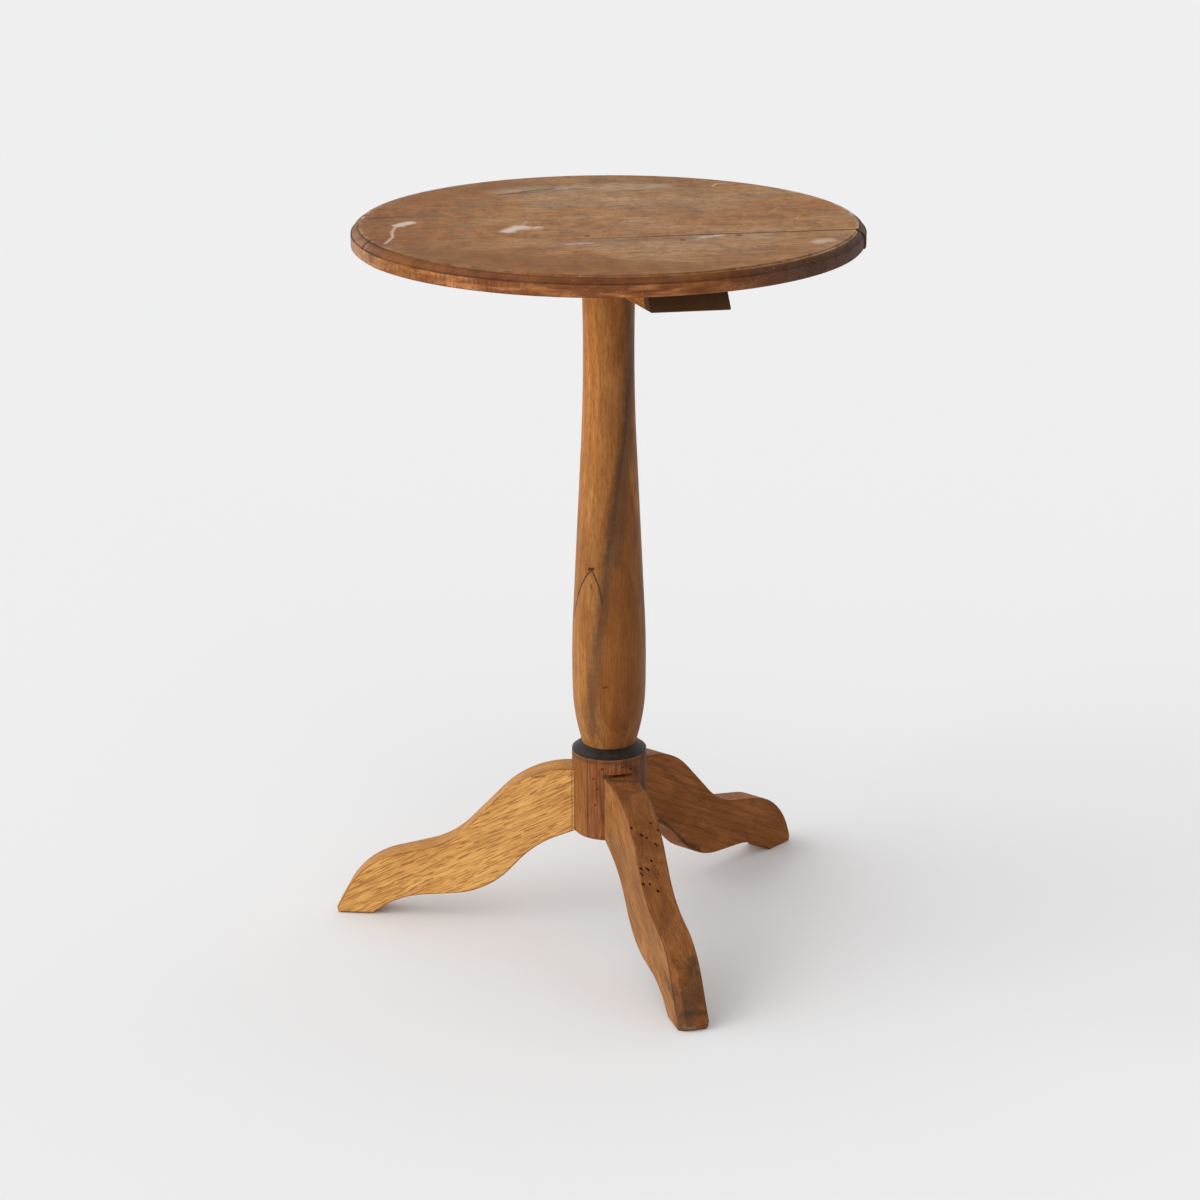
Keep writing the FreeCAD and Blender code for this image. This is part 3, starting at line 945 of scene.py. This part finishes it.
def stand_in(name: str, work: bmesh.types.BMesh, node: str) -> bpy.types.Object:
    """Make a piece that stands for a CAD node.

    Args:
        name: Name of the piece.
        work: Its geometry, which is freed.
        node: The node that it replaces.

    Returns:
        The piece.
    """
    piece = new_object(name, work)
    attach(piece, "root")
    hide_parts(node)
    LOG.info("made %s in place of %s", name, node)
    return piece


@dataclass
class MouldedTop:
    """The two boards of the top and the dowels in their seam."""

    rear: str = "top_rear_board"
    front: str = "top_front_board"
    crack_azimuth: float = 201.0
    seam_margin: float = 3.0

    def _on_board(self, name: str) -> Iterator[Mark]:
        """Choose the marks of one board.

        Args:
            name: The board's node.

        Returns:
            The marks that reach it.
        """
        across = Vector(turned(SEAM_AZIMUTH, 0.0, 1.0, 0.0))
        for mark in self._marks():
            behind = [across.dot(Vector(end)) + SEAM_OFFSET for end in (mark.start, mark.end)]
            reach = mark.width + self.seam_margin
            if (max(behind) > -reach) if name == self.rear else (min(behind) < reach):
                yield mark

    def _marks(self) -> Iterator[Mark]:
        """Mark the whole top.

        Returns:
            Its stains, cracks, scuffs and nail holes.
        """
        yield from strokes(Stain.BLEACHED, on_face, (
            ((-98, 150), (40, 176), 30.0, 0.75, 0.30, 0.75),
            ((50, -84), (140, -66), 20.0, 0.9, 0.4, 0.5),
            ((-45, -104), (20, -88), 16.0, 0.9, 0.4, 0.5),
        ))
        yield from strokes(Stain.AMBER, on_face, (
            ((-190, 110), (-100, 190), 40.0, 0.9, 0.3, 0.65),
            ((-170, -130), (-40, -190), 56.0, 0.95, 0.3, 0.95),
            ((-40, -190), (70, -205), 44.0, 0.95, 0.3, 0.75),
            ((-215, -30), (-165, -130), 34.0, 0.95, 0.3, 0.45),
            ((60, 40), (190, 70), 30.0, 0.95, 0.4, 0.40),
            ((110, -170), (170, -115), 40.0, 0.95, 0.4, 0.50),
        ))
        yield from strokes(Stain.GRIME_AND_SHADE, on_face, (
            ((-95, 136), (-25, 160), 9.0, 0.9, 0.4, 0.35),
            ((-222, 18), (-190, 26), 6.0, 0.9, 0.5, 0.5),
            ((-10, -86), (70, -75), 12.0, 0.95, 0.5, 0.35),
        ))
        yield from self._cracks()
        yield from self._scuffs()
        for x, y, size in ((-19.6, -65.0, 2.6), (67.3, -83.4, 2.4), (118.6, -61.6, 3.0)):
            yield Mark(Stain.HOLE, on_face(x - 1.0, y), on_face(x + 1.0, y), size, 0.5, 0.2, 0.9)

    def _cracks(self) -> Iterator[Mark]:
        """Mark what is open in the top.

        Returns:
            The crack at the back, the open part of the seam, its ends, and a crack through the rim.
        """
        back = [on_face(*place) for place in ((-106, 129), (-88, 141), (-75, 151), (-54, 161))]
        yield from trail(Stain.GRIME_AND_SHADE, back, 2.4, 0.6, 0.25, 0.85)
        yield from strokes(Stain.GRIME_AND_SHADE, on_seam, (
            ((-40,), (40,), 2.2, 0.9, 0.4, 0.45),
            ((30,), (227,), 2.4, 0.7, 0.08, 1.0),
        ))
        outline = ((218.5, 700.0), (221.0, 697.5), (226.5, 693.5), (227.5, 692.5), (227.5, 682.0))
        for end in (-1, 1):
            points = [on_seam(end * station, height) for station, height in outline]
            yield from trail(Stain.GRIME_AND_SHADE, points, 1.2, 0.5, 0.2, 0.9)
        profile = ((227.0, TOP_HEIGHT), (ARRIS_RADIUS, 698.7), (RIM_RADIUS - 3.0, 697.1),
                   (RIM_RADIUS - 0.9, BAND_FOOT))
        points = [polar(self.crack_azimuth, radius, height) for radius, height in profile]
        yield from trail(Stain.GRIME_AND_SHADE, points, 2.4, 0.6, 0.2, 0.95)

    def _scuffs(self) -> Iterator[Mark]:
        """Mark what is rubbed on the face.

        Returns:
            The pale scuffs and scratches.
        """
        yield from strokes(Stain.SCUFF_AND_HIGHLIGHT, on_face, (
            ((-194, -17), (-184, -3), 8.5, 0.6, 0.5, 0.90),
            ((-92, -42), (-80, -26), 11.5, 0.8, 0.5, 0.90),
            ((-82, -32), (-66, -27), 10.0, 0.95, 0.5, 0.70),
            ((-80, -20), (-76, 4), 3.0, 0.9, 0.6, 0.28),
            ((-36, -101), (-16, -96), 5.0, 0.9, 0.6, 0.45),
            ((84, -73), (104, -60), 6.0, 0.8, 0.6, 0.55),
            ((188, -94), (199, -82), 11.0, 0.95, 0.7, 0.50),
            ((28, -161), (78, -178), 1.5, 0.7, 0.4, 0.30),
            ((150, 40), (162, 70), 1.5, 0.7, 0.4, 0.18),
            ((175, 10), (178, 30), 1.5, 0.7, 0.4, 0.22),
            ((-30, 40), (6, 62), 1.5, 0.7, 0.4, 0.18),
            ((120, -140), (150, -128), 1.5, 0.7, 0.4, 0.25),
        ))
        drip = [on_face(*place) for place in ((-196, -22), (-198, -45), (-196, -70), (-201, -98))]
        yield from trail(Stain.SCUFF_AND_HIGHLIGHT, drip, 2.2, 0.7, 0.6, 0.65)
        hook = [on_face(*place) for place in ((101, 172), (106, 186), (116, 190))]
        yield from trail(Stain.SCUFF_AND_HIGHLIGHT, hook, 1.8, 0.6, 0.3, 0.5)

    def dress(self, effects: Effects, hidden: bpy.types.Material) -> None:
        """Give each board its wood and its own marks.

        Args:
            effects: The shared node groups.
            hidden: The plain wood of the dowels.
        """
        for name, wood in ((self.rear, "top_wood_rear"), (self.front, "top_wood_front")):
            finish = TopFinish(
                name=wood, light=(0.41, 0.220, 0.093), dark=(0.335, 0.170, 0.066), pore=(0.13, 0.058, 0.024),
                along=polar(SEAM_AZIMUTH, 1.0, 0.0), pith=(-60.0, 20.0, 560.0), rings=70.0, figure=42.0,
                fibre=420.0, pores=420.0, stretch=0.16, blotch=(44.0, 30.0, 30.0), fibre_depth=0.22,
                pore_depth=0.45, mottle_depth=0.60, sheen=0.03, marks=tuple(self._on_board(name)),
            )
            dress_node(name, finish.build(effects))
        dress_node("seam_dowels", hidden)


@dataclass
class BattenSet:
    """The batten under the top with its slotted screws, in millimetres."""

    screw_station: float = 152.0
    head_radius: float = 4.6
    head_height: float = 3.2
    shank_radius: float = 2.3
    length: float = 34.0
    recess: float = 0.3
    slot_half_width: float = 0.55
    slot_depth: float = 1.2
    segments: int = 32
    end_height: float = 669.0
    end_reaches: tuple[float, float] = (192.0, 205.0)
    half_width: float = 35.0

    def build(self) -> bpy.types.Object:
        """Make the screws with slots in their heads.

        Returns:
            The object that stands for both screws.
        """
        work = bmesh.new()
        for station in (self.screw_station, -self.screw_station):
            place = Matrix.Rotation(math.radians(BATTEN_AZIMUTH), 4, "Z") @ Matrix.Translation(
                (station * MM, 0.0, (BATTEN_UNDERSIDE + self.recess) * MM))
            self._add_shank(work, place)
            for side in (1, -1):
                self._add_head_half(work, place, side)
        bmesh.ops.recalc_face_normals(work, faces=work.faces[:])
        return stand_in("slotted_screws", work, "batten_screws")

    def _flank(self, depth: float) -> float:
        """Radius of the countersunk head at a depth from its face."""
        return self.head_radius + (self.shank_radius - self.head_radius) * depth / self.head_height

    def _add_shank(self, work: bmesh.types.BMesh, place: Matrix) -> None:
        """Add the head above its slot, and the shank.

        Args:
            work: Where they are added.
            place: The screw's place, with its face at the origin.
        """
        outline = [
            (0.0, self.slot_depth), (self._flank(self.slot_depth), self.slot_depth),
            (self.shank_radius, self.head_height), (self.shank_radius, self.length), (0.0, self.length),
        ]
        verts = [work.verts.new(place @ Vector((r * MM, 0.0, h * MM))) for r, h in outline]
        edges = [work.edges.new(pair) for pair in zip(verts, verts[1:])]
        bmesh.ops.spin(work, geom=verts + edges, cent=place.translation, axis=(0, 0, 1), angle=math.tau,
                       steps=self.segments, use_merge=True)
        bmesh.ops.remove_doubles(work, verts=work.verts[:], dist=1e-7)

    def _add_head_half(self, work: bmesh.types.BMesh, place: Matrix, side: int) -> None:
        """Add one half of the head beside the slot.

        Args:
            work: Where it is added.
            place: The screw's place, with its face at the origin.
            side: 1 or -1, the side of the slot.
        """
        rings = []
        steps = self.segments // 2
        for depth in (0.0, self.slot_depth):
            radius = self._flank(depth)
            start = math.asin(self.slot_half_width / radius)
            angles = [start + (math.pi - 2 * start) * i / steps for i in range(steps + 1)]
            corners = [(radius * math.cos(a), side * radius * math.sin(a), depth) for a in angles]
            rings.append([work.verts.new(place @ Vector(in_metres(corner))) for corner in corners])
        low, high = rings
        work.faces.new(low)
        work.faces.new(high)
        for i in range(len(low)):
            j = (i + 1) % len(low)
            work.faces.new((low[i], low[j], high[j], high[i]))

    def _end_marks(self) -> Iterator[Mark]:
        """Mark the ends of the batten, which are skewed.

        Returns:
            The dark end grain of both, darkened further with painted shade under the top.
        """
        for end in (1, -1):
            left, right = (
                turned(BATTEN_AZIMUTH, end * reach, end * aside, self.end_height)
                for reach, aside in zip(self.end_reaches, (-self.half_width, self.half_width)))
            # Dark end grain, and painted shade where the end lies under the top.
            yield Mark(Stain.GRIME_AND_SHADE, left, right, 14.0, 0.25, 0.08, 0.93)

    def dress(self, effects: Effects, screws: bpy.types.Object) -> None:
        """Give the batten its wood and the screws their iron.

        Args:
            effects: The shared node groups.
            screws: The slotted screws.
        """
        finish = WoodFinish(
            name="batten_wood", light=(0.61, 0.215, 0.030), dark=(0.42, 0.14, 0.019),
            pore=(0.1, 0.042, 0.012), along=polar(BATTEN_AZIMUTH, 1.0, 0.0), pith=(0.0, 30.0, 600.0),
            figure=70.0, roughness=0.62, sheen=0.05, marks=tuple(self._end_marks()),
        )
        dress_node("batten", finish.build(effects))
        iron = PlainFinish("screw_iron", (0.10, 0.095, 0.09), (0.13, 0.075, 0.045), 0.5, metallic=0.8).build()
        dress_node("batten_screws", iron)
        screws.data.materials.append(iron)


@dataclass
class Pedestal:
    """The column with its wedges, the collar and the hub."""

    streak: tuple[tuple[float, float], ...] = (
        (322, 652), (321, 600), (319, 552), (311, 514), (289, 458), (268, 380), (250, 291), (241, 239),
        (238, 205),
    )
    streak_shoulder: float = 11.0
    arch: tuple[tuple[float, float], ...] = (
        (197, 318), (201, 329), (207.6, 341), (215.8, 351), (226.7, 362), (233, 366.5), (239.2, 369.5),
        (243, 367), (247.3, 362), (253.3, 354), (257, 345), (258.6, 338),
    )

    def _column_marks(self) -> Iterator[Mark]:
        """Mark the column.

        Returns:
            Its dark heartwood streak, the arch, the small knots, and painted shade in the crease above the
            collar.
        """
        points = [on_column(*place) for place in self.streak]
        beside = [on_column(azimuth + self.streak_shoulder, height) for azimuth, height in self.streak[1:6]]
        yield from trail(Stain.HEARTWOOD, points, 10.0, 0.9, 0.3, 0.70)
        yield from trail(Stain.HEARTWOOD, points[2:7], 5.0, 0.9, 0.4, 0.85)
        yield from trail(Stain.HEARTWOOD, beside, 12.0, 0.85, 0.3, 0.72)
        yield from trail(Stain.GRIME_AND_SHADE, points[2:6], 5.5, 0.95, 0.5, 0.42)
        yield from trail(Stain.GRIME_AND_SHADE, [on_column(*place) for place in self.arch], 1.1, 0.5, 0.15, 0.95)
        yield from strokes(Stain.GRIME_AND_SHADE, on_column, (
            ((238.7, 355), (238.7, 352), 0.9, 0.5, 0.2, 0.9),
            ((261, 254), (266, 255), 1.3, 0.5, 0.3, 0.9),
            ((296, 202), (300, 203), 1.0, 0.5, 0.3, 0.8),
            # Painted shade in the crease where the column meets the collar.
            ((180, 191), (355, 191), 4.0, 0.9, 0.3, 0.5),
        ))
        yield Mark(Stain.HOLE, on_column(234, 370.5), on_column(242, 371.5), 2.0, 0.6, 0.4, 0.85)

    def _hub_marks(self) -> Iterator[Mark]:
        """Mark the hub.

        Returns:
            Painted shade round its top under the collar and at the front leg's joint, a dark stain partly
            painted shade on its right, other stains, one near its foot, and single worm holes.
        """
        # Painted shade round the top, under the collar.
        yield from trail(Stain.GRIME_AND_SHADE, [on_hub(a, 177) for a in range(180, 361, 30)], 3.2, 0.9, 0.5, 0.65)
        yield from strokes(Stain.GRIME_AND_SHADE, on_hub, (
            # These three are painted shade in the gap at the front leg's joint.
            ((262, 163.5), (318, 163.5), 3.5, 0.9, 0.4, 0.75),
            ((296, 176), (316, 166), 6.0, 0.9, 0.6, 0.70),
            ((255, 168), (258, 120), 2.2, 0.9, 0.5, 0.5),
            ((200, 100), (262, 100), 3.0, 0.9, 0.4, 0.6),
        ))
        yield from strokes(Stain.HEARTWOOD, on_hub, (
            # Partly a dark stain and partly painted shade, on the right beside the front leg.
            ((335, 176), (335, 110), 15.0, 0.7, 0.3, 0.92),
            ((190, 176), (190, 100), 5.0, 0.9, 0.4, 0.45),
        ))
        yield Mark(Stain.AMBER, on_hub(240, 172), on_hub(250, 110), 7.0, 0.9, 0.6, 0.25)
        for azimuth, height in (
            (244, 160), (251, 150), (258, 171), (247, 133), (262, 142), (290, 172), (304, 169),
        ):
            yield Mark(Stain.HOLE, on_hub(azimuth, height), on_hub(azimuth + 2, height), 0.9, 0.5, 0.2, 0.9)

    def dress(self, effects: Effects, hidden: bpy.types.Material) -> None:
        """Give the turned pieces their woods.

        Args:
            effects: The shared node groups.
            hidden: The plain wood of the wedges.
        """
        column = ColumnFinish(
            name="column_wood", light=(0.45, 0.196, 0.052), dark=(0.30, 0.116, 0.029),
            pore=(0.14, 0.054, 0.016), along=(0.0, 0.0, 1.0), pith=(300.0, 60.0, 25.0), rings=150.0,
            fibre=620.0, stretch=0.14, fibre_depth=0.40, pore_depth=0.40, mottle_depth=0.5, roughness=0.47,
            marks=tuple(self._column_marks()),
        )
        dress_node("column", column.build(effects))
        hub = HubFinish(
            name="hub_wood", light=(0.40, 0.150, 0.056), dark=(0.215, 0.075, 0.028),
            pore=(0.06, 0.020, 0.008), along=(0.0, 0.0, 1.0), pith=(100.0, 20.0, -30.0), rings=240.0,
            figure=90.0, fibre=600.0, pore_depth=0.4, mottle_depth=0.6, sheen=0.06,
            marks=tuple(self._hub_marks()),
            worms=(WormPatch(polar(262, 36, 150), polar(300, 36, 160), 18, 190.0, 0.25),),
        )
        dress_node("hub", hub.build(effects))
        collar = PlainFinish("collar_ebonised", (0.010, 0.006, 0.005), (0.026, 0.014, 0.010), 0.45)
        dress_node("collar", collar.build())
        for name in ("upper_tenon_wedge", "lower_tenon_wedge"):
            dress_node(name, hidden)


@dataclass(frozen=True)
class ToeWear:
    """A flat worn on a toe: its depth, and the way it faces in parts outwards, to the leg's right and up."""

    outwards: float
    rightwards: float
    upwards: float
    depth: float


@dataclass
class TripodLegs:
    """The three sawn legs, the front one with a worn toe."""

    grain_slope: float = 27.0
    crease: float = 30.0
    wear: tuple[ToeWear, ...] = (
        ToeWear(0.84, 0.75, 0.55, 3.2), ToeWear(0.84, 1.30, 0.20, 1.6), ToeWear(0.90, 0.80, -0.35, 2.6),
        ToeWear(0.90, 0.45, -0.50, 1.6), ToeWear(0.90, -0.80, -0.35, 2.4), ToeWear(0.75, 0.0, -0.65, 1.4),
    )

    def build(self) -> bpy.types.Object:
        """Make the front leg with its toe worn round.

        Returns:
            The object that stands for the front leg.
        """
        side = LegSide.FRONT
        work = bmesh.new()
        work.from_mesh(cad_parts[side.node].data)
        bmesh.ops.remove_doubles(work, verts=work.verts[:], dist=1e-6)
        for flat in self.wear:
            self._wear_down(work, side, flat)
        bmesh.ops.recalc_face_normals(work, faces=work.faces[:])
        for face in work.faces:
            face.smooth = True
        for edge in work.edges:
            edge.smooth = edge.calc_face_angle(math.pi) < math.radians(self.crease)
        return stand_in("worn_front_leg", work, side.node)

    @staticmethod
    def _wear_down(work: bmesh.types.BMesh, side: LegSide, flat: ToeWear) -> None:
        """Cut one flat from the end of a leg and close it.

        Args:
            work: The leg.
            side: Which leg it is.
            flat: The flat.
        """
        facing = Vector(side.at(flat.outwards, flat.upwards, flat.rightwards)).normalized()
        reach = max(vert.co.dot(facing) for vert in work.verts) - flat.depth * MM
        cut = bmesh.ops.bisect_plane(work, geom=work.verts[:] + work.edges[:] + work.faces[:], dist=1e-7,
                                     plane_co=facing * reach, plane_no=facing, clear_outer=True)
        rim = [part for part in cut["geom_cut"] if isinstance(part, bmesh.types.BMEdge)]
        bmesh.ops.edgenet_fill(work, edges=rim)

    def _along(self, side: LegSide) -> Point:
        """Direction of a leg's grain: outwards and down."""
        fall = math.radians(self.grain_slope)
        return polar(side.azimuth, math.cos(fall), -math.sin(fall))

    def _left(self) -> LegFinish:
        """Choose the left leg's wood.

        Returns:
            Light honey wood with coarse open pores.
        """
        side = LegSide.LEFT
        # Dark marks on the near side: a short one near the top, painted shade along the joint with the hub,
        # and painted shade along the sole at the floor.
        grime_and_shade = (
            ((62, 153, -14), (74, 152, -14), 2.2, 0.9, 0.5, 0.6),
            ((35, 100, -14), (35, 160, -14), 1.6, 0.9, 0.4, 0.6),
            ((266, 1, -14), (238, 1, -14), 2.4, 0.9, 0.5, 0.6),
        )
        return LegFinish(
            name="leg_wood_light", light=(0.83, 0.460, 0.150), dark=(0.67, 0.330, 0.095),
            pore=(0.30, 0.122, 0.032), along=self._along(side), pith=(100.0, 40.0, 60.0), rings=120.0,
            fibre=640.0, pores=860.0, stretch=0.07, fibre_depth=0.50, pore_depth=0.75, mottle_depth=0.35,
            sheen=0.06, side=side, edge=(0.60, 0.290, 0.075),
            marks=tuple(strokes(Stain.GRIME_AND_SHADE, side.at, grime_and_shade)),
        )

    @staticmethod
    def _front_marks() -> Iterator[Mark]:
        """Mark the front leg.

        Returns:
            Its bruises, the rubbed spots and the larger worm holes.
        """
        at = LegSide.FRONT.at
        yield from strokes(Stain.GRIME_AND_SHADE, at, (
            ((240, 54, -9), (246, 48, -5), 10.0, 0.95, 0.4, 0.75),
            ((267, 15, -12), (267, 15, 12), 5.0, 0.9, 0.5, 0.75),
            ((232, 38, 14), (252, 30, 14), 10.0, 0.95, 0.4, 0.60),
            ((42, 162, 12), (50, 162, -12), 5.0, 0.9, 0.4, 0.70),
            ((70, 161, 5), (76, 160, -4), 3.5, 0.9, 0.5, 0.45),
            ((57, 147, 14), (57, 138, 14), 2.0, 0.8, 0.3, 0.70),
            ((54, 117, 14), (54, 109, 14), 2.2, 0.8, 0.3, 0.75),
        ))
        yield from strokes(Stain.HEARTWOOD, at, (
            ((256, 30, -6), (270, 10, 8), 20.0, 0.95, 0.4, 0.88),
            ((246, 46, -12), (262, 24, -13), 7.0, 0.95, 0.4, 0.60),
        ))
        yield from strokes(Stain.WORN, at, (
            ((273, 4, 1), (273, 4, 11), 3.0, 0.9, 0.6, 0.30),
            ((252, 38, 12), (253, 37, 13), 1.4, 0.7, 0.4, 0.45),
            ((253, 36, 3), (254, 35, 3), 0.8, 0.6, 0.4, 0.50),
        ))
        for distance, height, lateral, run, size in (
            (123.7, 137.1, 5.8, 0.8, 1.6), (126.4, 134.6, 1.0, 0.4, 1.2), (145.1, 112.4, 12.7, 0.6, 1.5),
            (145.4, 111.9, 6.8, 2.0, 1.2), (155.2, 100.4, 13.0, 0.4, 1.7), (121.5, 139.1, -11.7, 0.5, 1.0),
            (141.3, 117.1, 1.0, 0.5, 1.2), (148.1, 108.6, 13.6, 1.8, 1.1), (155.6, 100.0, 6.8, 0.4, 1.3),
            (117.2, 142.5, 13.6, 0.5, 1.5), (114.8, 144.3, -6.8, 0.4, 1.1), (161.4, 94.6, 1.0, 0.8, 1.4),
        ):
            end = at(distance + run, height - run, lateral - run)
            yield Mark(Stain.HOLE, at(distance, height, lateral), end, size, 0.5, 0.4)
        yield Mark(Stain.HOLE, at(130.8, 129.9, -5.5), at(133, 127.7, -8.5), 0.9, 0.5, 0.3)

    def _front(self) -> LegFinish:
        """Choose the front leg's wood.

        Returns:
            Browner wood with worm holes, bruised above the toe.
        """
        side = LegSide.FRONT
        return LegFinish(
            name="leg_wood_brown", light=(0.41, 0.183, 0.057), dark=(0.28, 0.117, 0.034),
            pore=(0.09, 0.034, 0.012), along=self._along(side), figure=70.0, stretch=0.10, fibre_depth=0.50,
            pore_depth=0.40, mottle_depth=0.70, sheen=0.07, side=side, edge=(0.31, 0.117, 0.036),
            marks=tuple(self._front_marks()),
            worms=(
                WormPatch(side.at(138, 120, 0), side.at(158, 97, 10), 16, 330.0, 0.35),
                WormPatch(side.at(108, 149, -8), side.at(126, 135, 8), 14, 300.0, 0.12),
                WormPatch(side.at(82, 127, 14), side.at(82, 108, 14), 14, 300.0, 0.16),
            ),
        )

    def _right(self) -> LegFinish:
        """Choose the right leg's wood.

        Returns:
            Darker, smoother wood with painted shade along its lower edge.
        """
        side = LegSide.RIGHT
        # Painted shade along the lower edge, near the hub.
        shaded = [side.at(*place) for place in ((62, 90, 14), (85, 67, 14), (104, 51, 14), (124, 38, 14))]
        grained = [side.at(*place) for place in ((48, 157, 14), (89, 123, 14), (125, 91, 14))]
        return LegFinish(
            name="leg_wood_dark", light=(0.34, 0.122, 0.033), dark=(0.225, 0.077, 0.020),
            pore=(0.10, 0.036, 0.011), along=self._along(side), pith=(160.0, 25.0, 70.0), rings=130.0,
            figure=75.0, fibre=600.0, mottle_depth=0.55, sheen=0.05, side=side, edge=(0.34, 0.112, 0.020),
            marks=(
                *trail(Stain.GRIME_AND_SHADE, shaded, 4.5, 0.9, 0.4, 0.80),
                *trail(Stain.GRIME_AND_SHADE, grained, 2.4, 0.9, 0.5, 0.45),
            ),
        )

    def dress(self, effects: Effects, worn: bpy.types.Object) -> None:
        """Give each leg its wood.

        Args:
            effects: The shared node groups.
            worn: The piece that stands for the front leg.
        """
        for finish in (self._left(), self._front(), self._right()):
            material = finish.build(effects)
            dress_node(finish.side.node, material)
            if finish.side is LegSide.FRONT:
                worn.data.materials.append(material)


@dataclass(frozen=True)
class SoftSun:
    """A wide soft light: its strength, where it comes from and how wide it is, in degrees."""

    name: str
    strength: float
    azimuth: float
    elevation: float
    spread: float

    def build(self) -> None:
        """Hang the light."""
        lamp = bpy.data.lights.new(self.name, "SUN")
        lamp.energy = self.strength
        lamp.angle = math.radians(self.spread)
        rise = math.radians(self.elevation)
        towards = Vector(polar(self.azimuth, math.cos(rise), math.sin(rise)))
        sun = bpy.data.objects.new(self.name, lamp)
        sun.rotation_euler = towards.to_track_quat("Z", "Y").to_euler()
        bpy.context.scene.collection.objects.link(sun)


@dataclass
class Studio:
    """A plain pale floor, soft light from the left, and the camera; lengths in metres."""

    floor_size: float = 60.0
    floor_tone: Tone = (0.77, 0.77, 0.773)
    floor_roughness: float = 0.8
    floor_sheen: float = 0.2
    suns: tuple[SoftSun, ...] = (
        SoftSun("window", 2.3, 192.0, 15.0, 80.0),
        SoftSun("room", 1.5, 238.0, 26.0, 115.0),
        SoftSun("wall", 1.0, 90.0, 40.0, 110.0),
    )
    sky: float = 0.44
    backdrop: float = 0.76
    eye: Point = (0.0, -3.032, 1.313)
    pitch: float = 17.94
    yaw: float = -0.163
    roll: float = -0.12
    lens: float = 99.45
    sensor: float = 36.0
    far: float = 200.0

    def build(self) -> None:
        """Make the floor, the lights and the camera."""
        self._floor()
        for sun in self.suns:
            sun.build()
        self._sky()
        self._camera()

    def _floor(self) -> None:
        """One large square of matt floor."""
        work = bmesh.new()
        bmesh.ops.create_grid(work, x_segments=1, y_segments=1, size=self.floor_size / 2)
        floor = new_object("studio_floor", work)
        material, surface = start_material("studio_floor")
        surface.inputs["Base Color"].default_value = (*self.floor_tone, 1.0)
        surface.inputs["Roughness"].default_value = self.floor_roughness
        surface.inputs["Specular IOR Level"].default_value = self.floor_sheen
        floor.data.materials.append(material)

    def _sky(self) -> None:
        """An even white sky for light, and a pale backdrop for the camera."""
        world = bpy.data.worlds.new("studio_sky")
        bpy.context.scene.world = world
        world.use_nodes = True
        world.node_tree.nodes.clear()
        graph = Graph(world.node_tree)
        lit = graph.wired("ShaderNodeBackground", {"Color": (1.0, 1.0, 1.0), "Strength": self.sky})
        seen = graph.wired("ShaderNodeBackground", {"Color": (self.backdrop, self.backdrop, self.backdrop)})
        by_camera = graph.node("ShaderNodeLightPath").outputs["Is Camera Ray"]
        chosen = graph.wired("ShaderNodeMixShader", {0: by_camera, 1: lit, 2: seen})
        graph.feed(graph.node("ShaderNodeOutputWorld").inputs[0], chosen)

    def _camera(self) -> None:
        """A long lens from standing height."""
        camera = bpy.data.objects.new("camera", bpy.data.cameras.new("camera"))
        camera.data.sensor_width = self.sensor
        camera.data.lens = self.lens
        camera.data.clip_end = self.far
        pitch, yaw, roll = (math.radians(v) for v in (self.pitch, self.yaw, self.roll))
        ahead = Vector((math.sin(yaw) * math.cos(pitch), math.cos(yaw) * math.cos(pitch), -math.sin(pitch)))
        level = Vector((math.cos(yaw), -math.sin(yaw), 0.0))
        above = level.cross(ahead)
        right = level * math.cos(roll) + above * math.sin(roll)
        up = above * math.cos(roll) - level * math.sin(roll)
        camera.matrix_world = Matrix.Translation(self.eye) @ Matrix((right, up, -ahead)).transposed().to_4x4()
        bpy.context.scene.collection.objects.link(camera)
        bpy.context.scene.camera = camera


def main() -> None:
    """Build and dress the table, then the studio."""
    logging.basicConfig(level=logging.INFO, format="%(message)s")
    bpy.context.scene.view_settings.view_transform = "Standard"
    effects = Effects().build()
    hidden = PlainFinish("hidden_wood", (0.42, 0.28, 0.16), (0.36, 0.23, 0.12), 0.7).build()
    MouldedTop().dress(effects, hidden)
    batten = BattenSet()
    batten.dress(effects, batten.build())
    Pedestal().dress(effects, hidden)
    legs = TripodLegs()
    legs.dress(effects, legs.build())
    Studio().build()


if __name__ == "__main__":
    main()
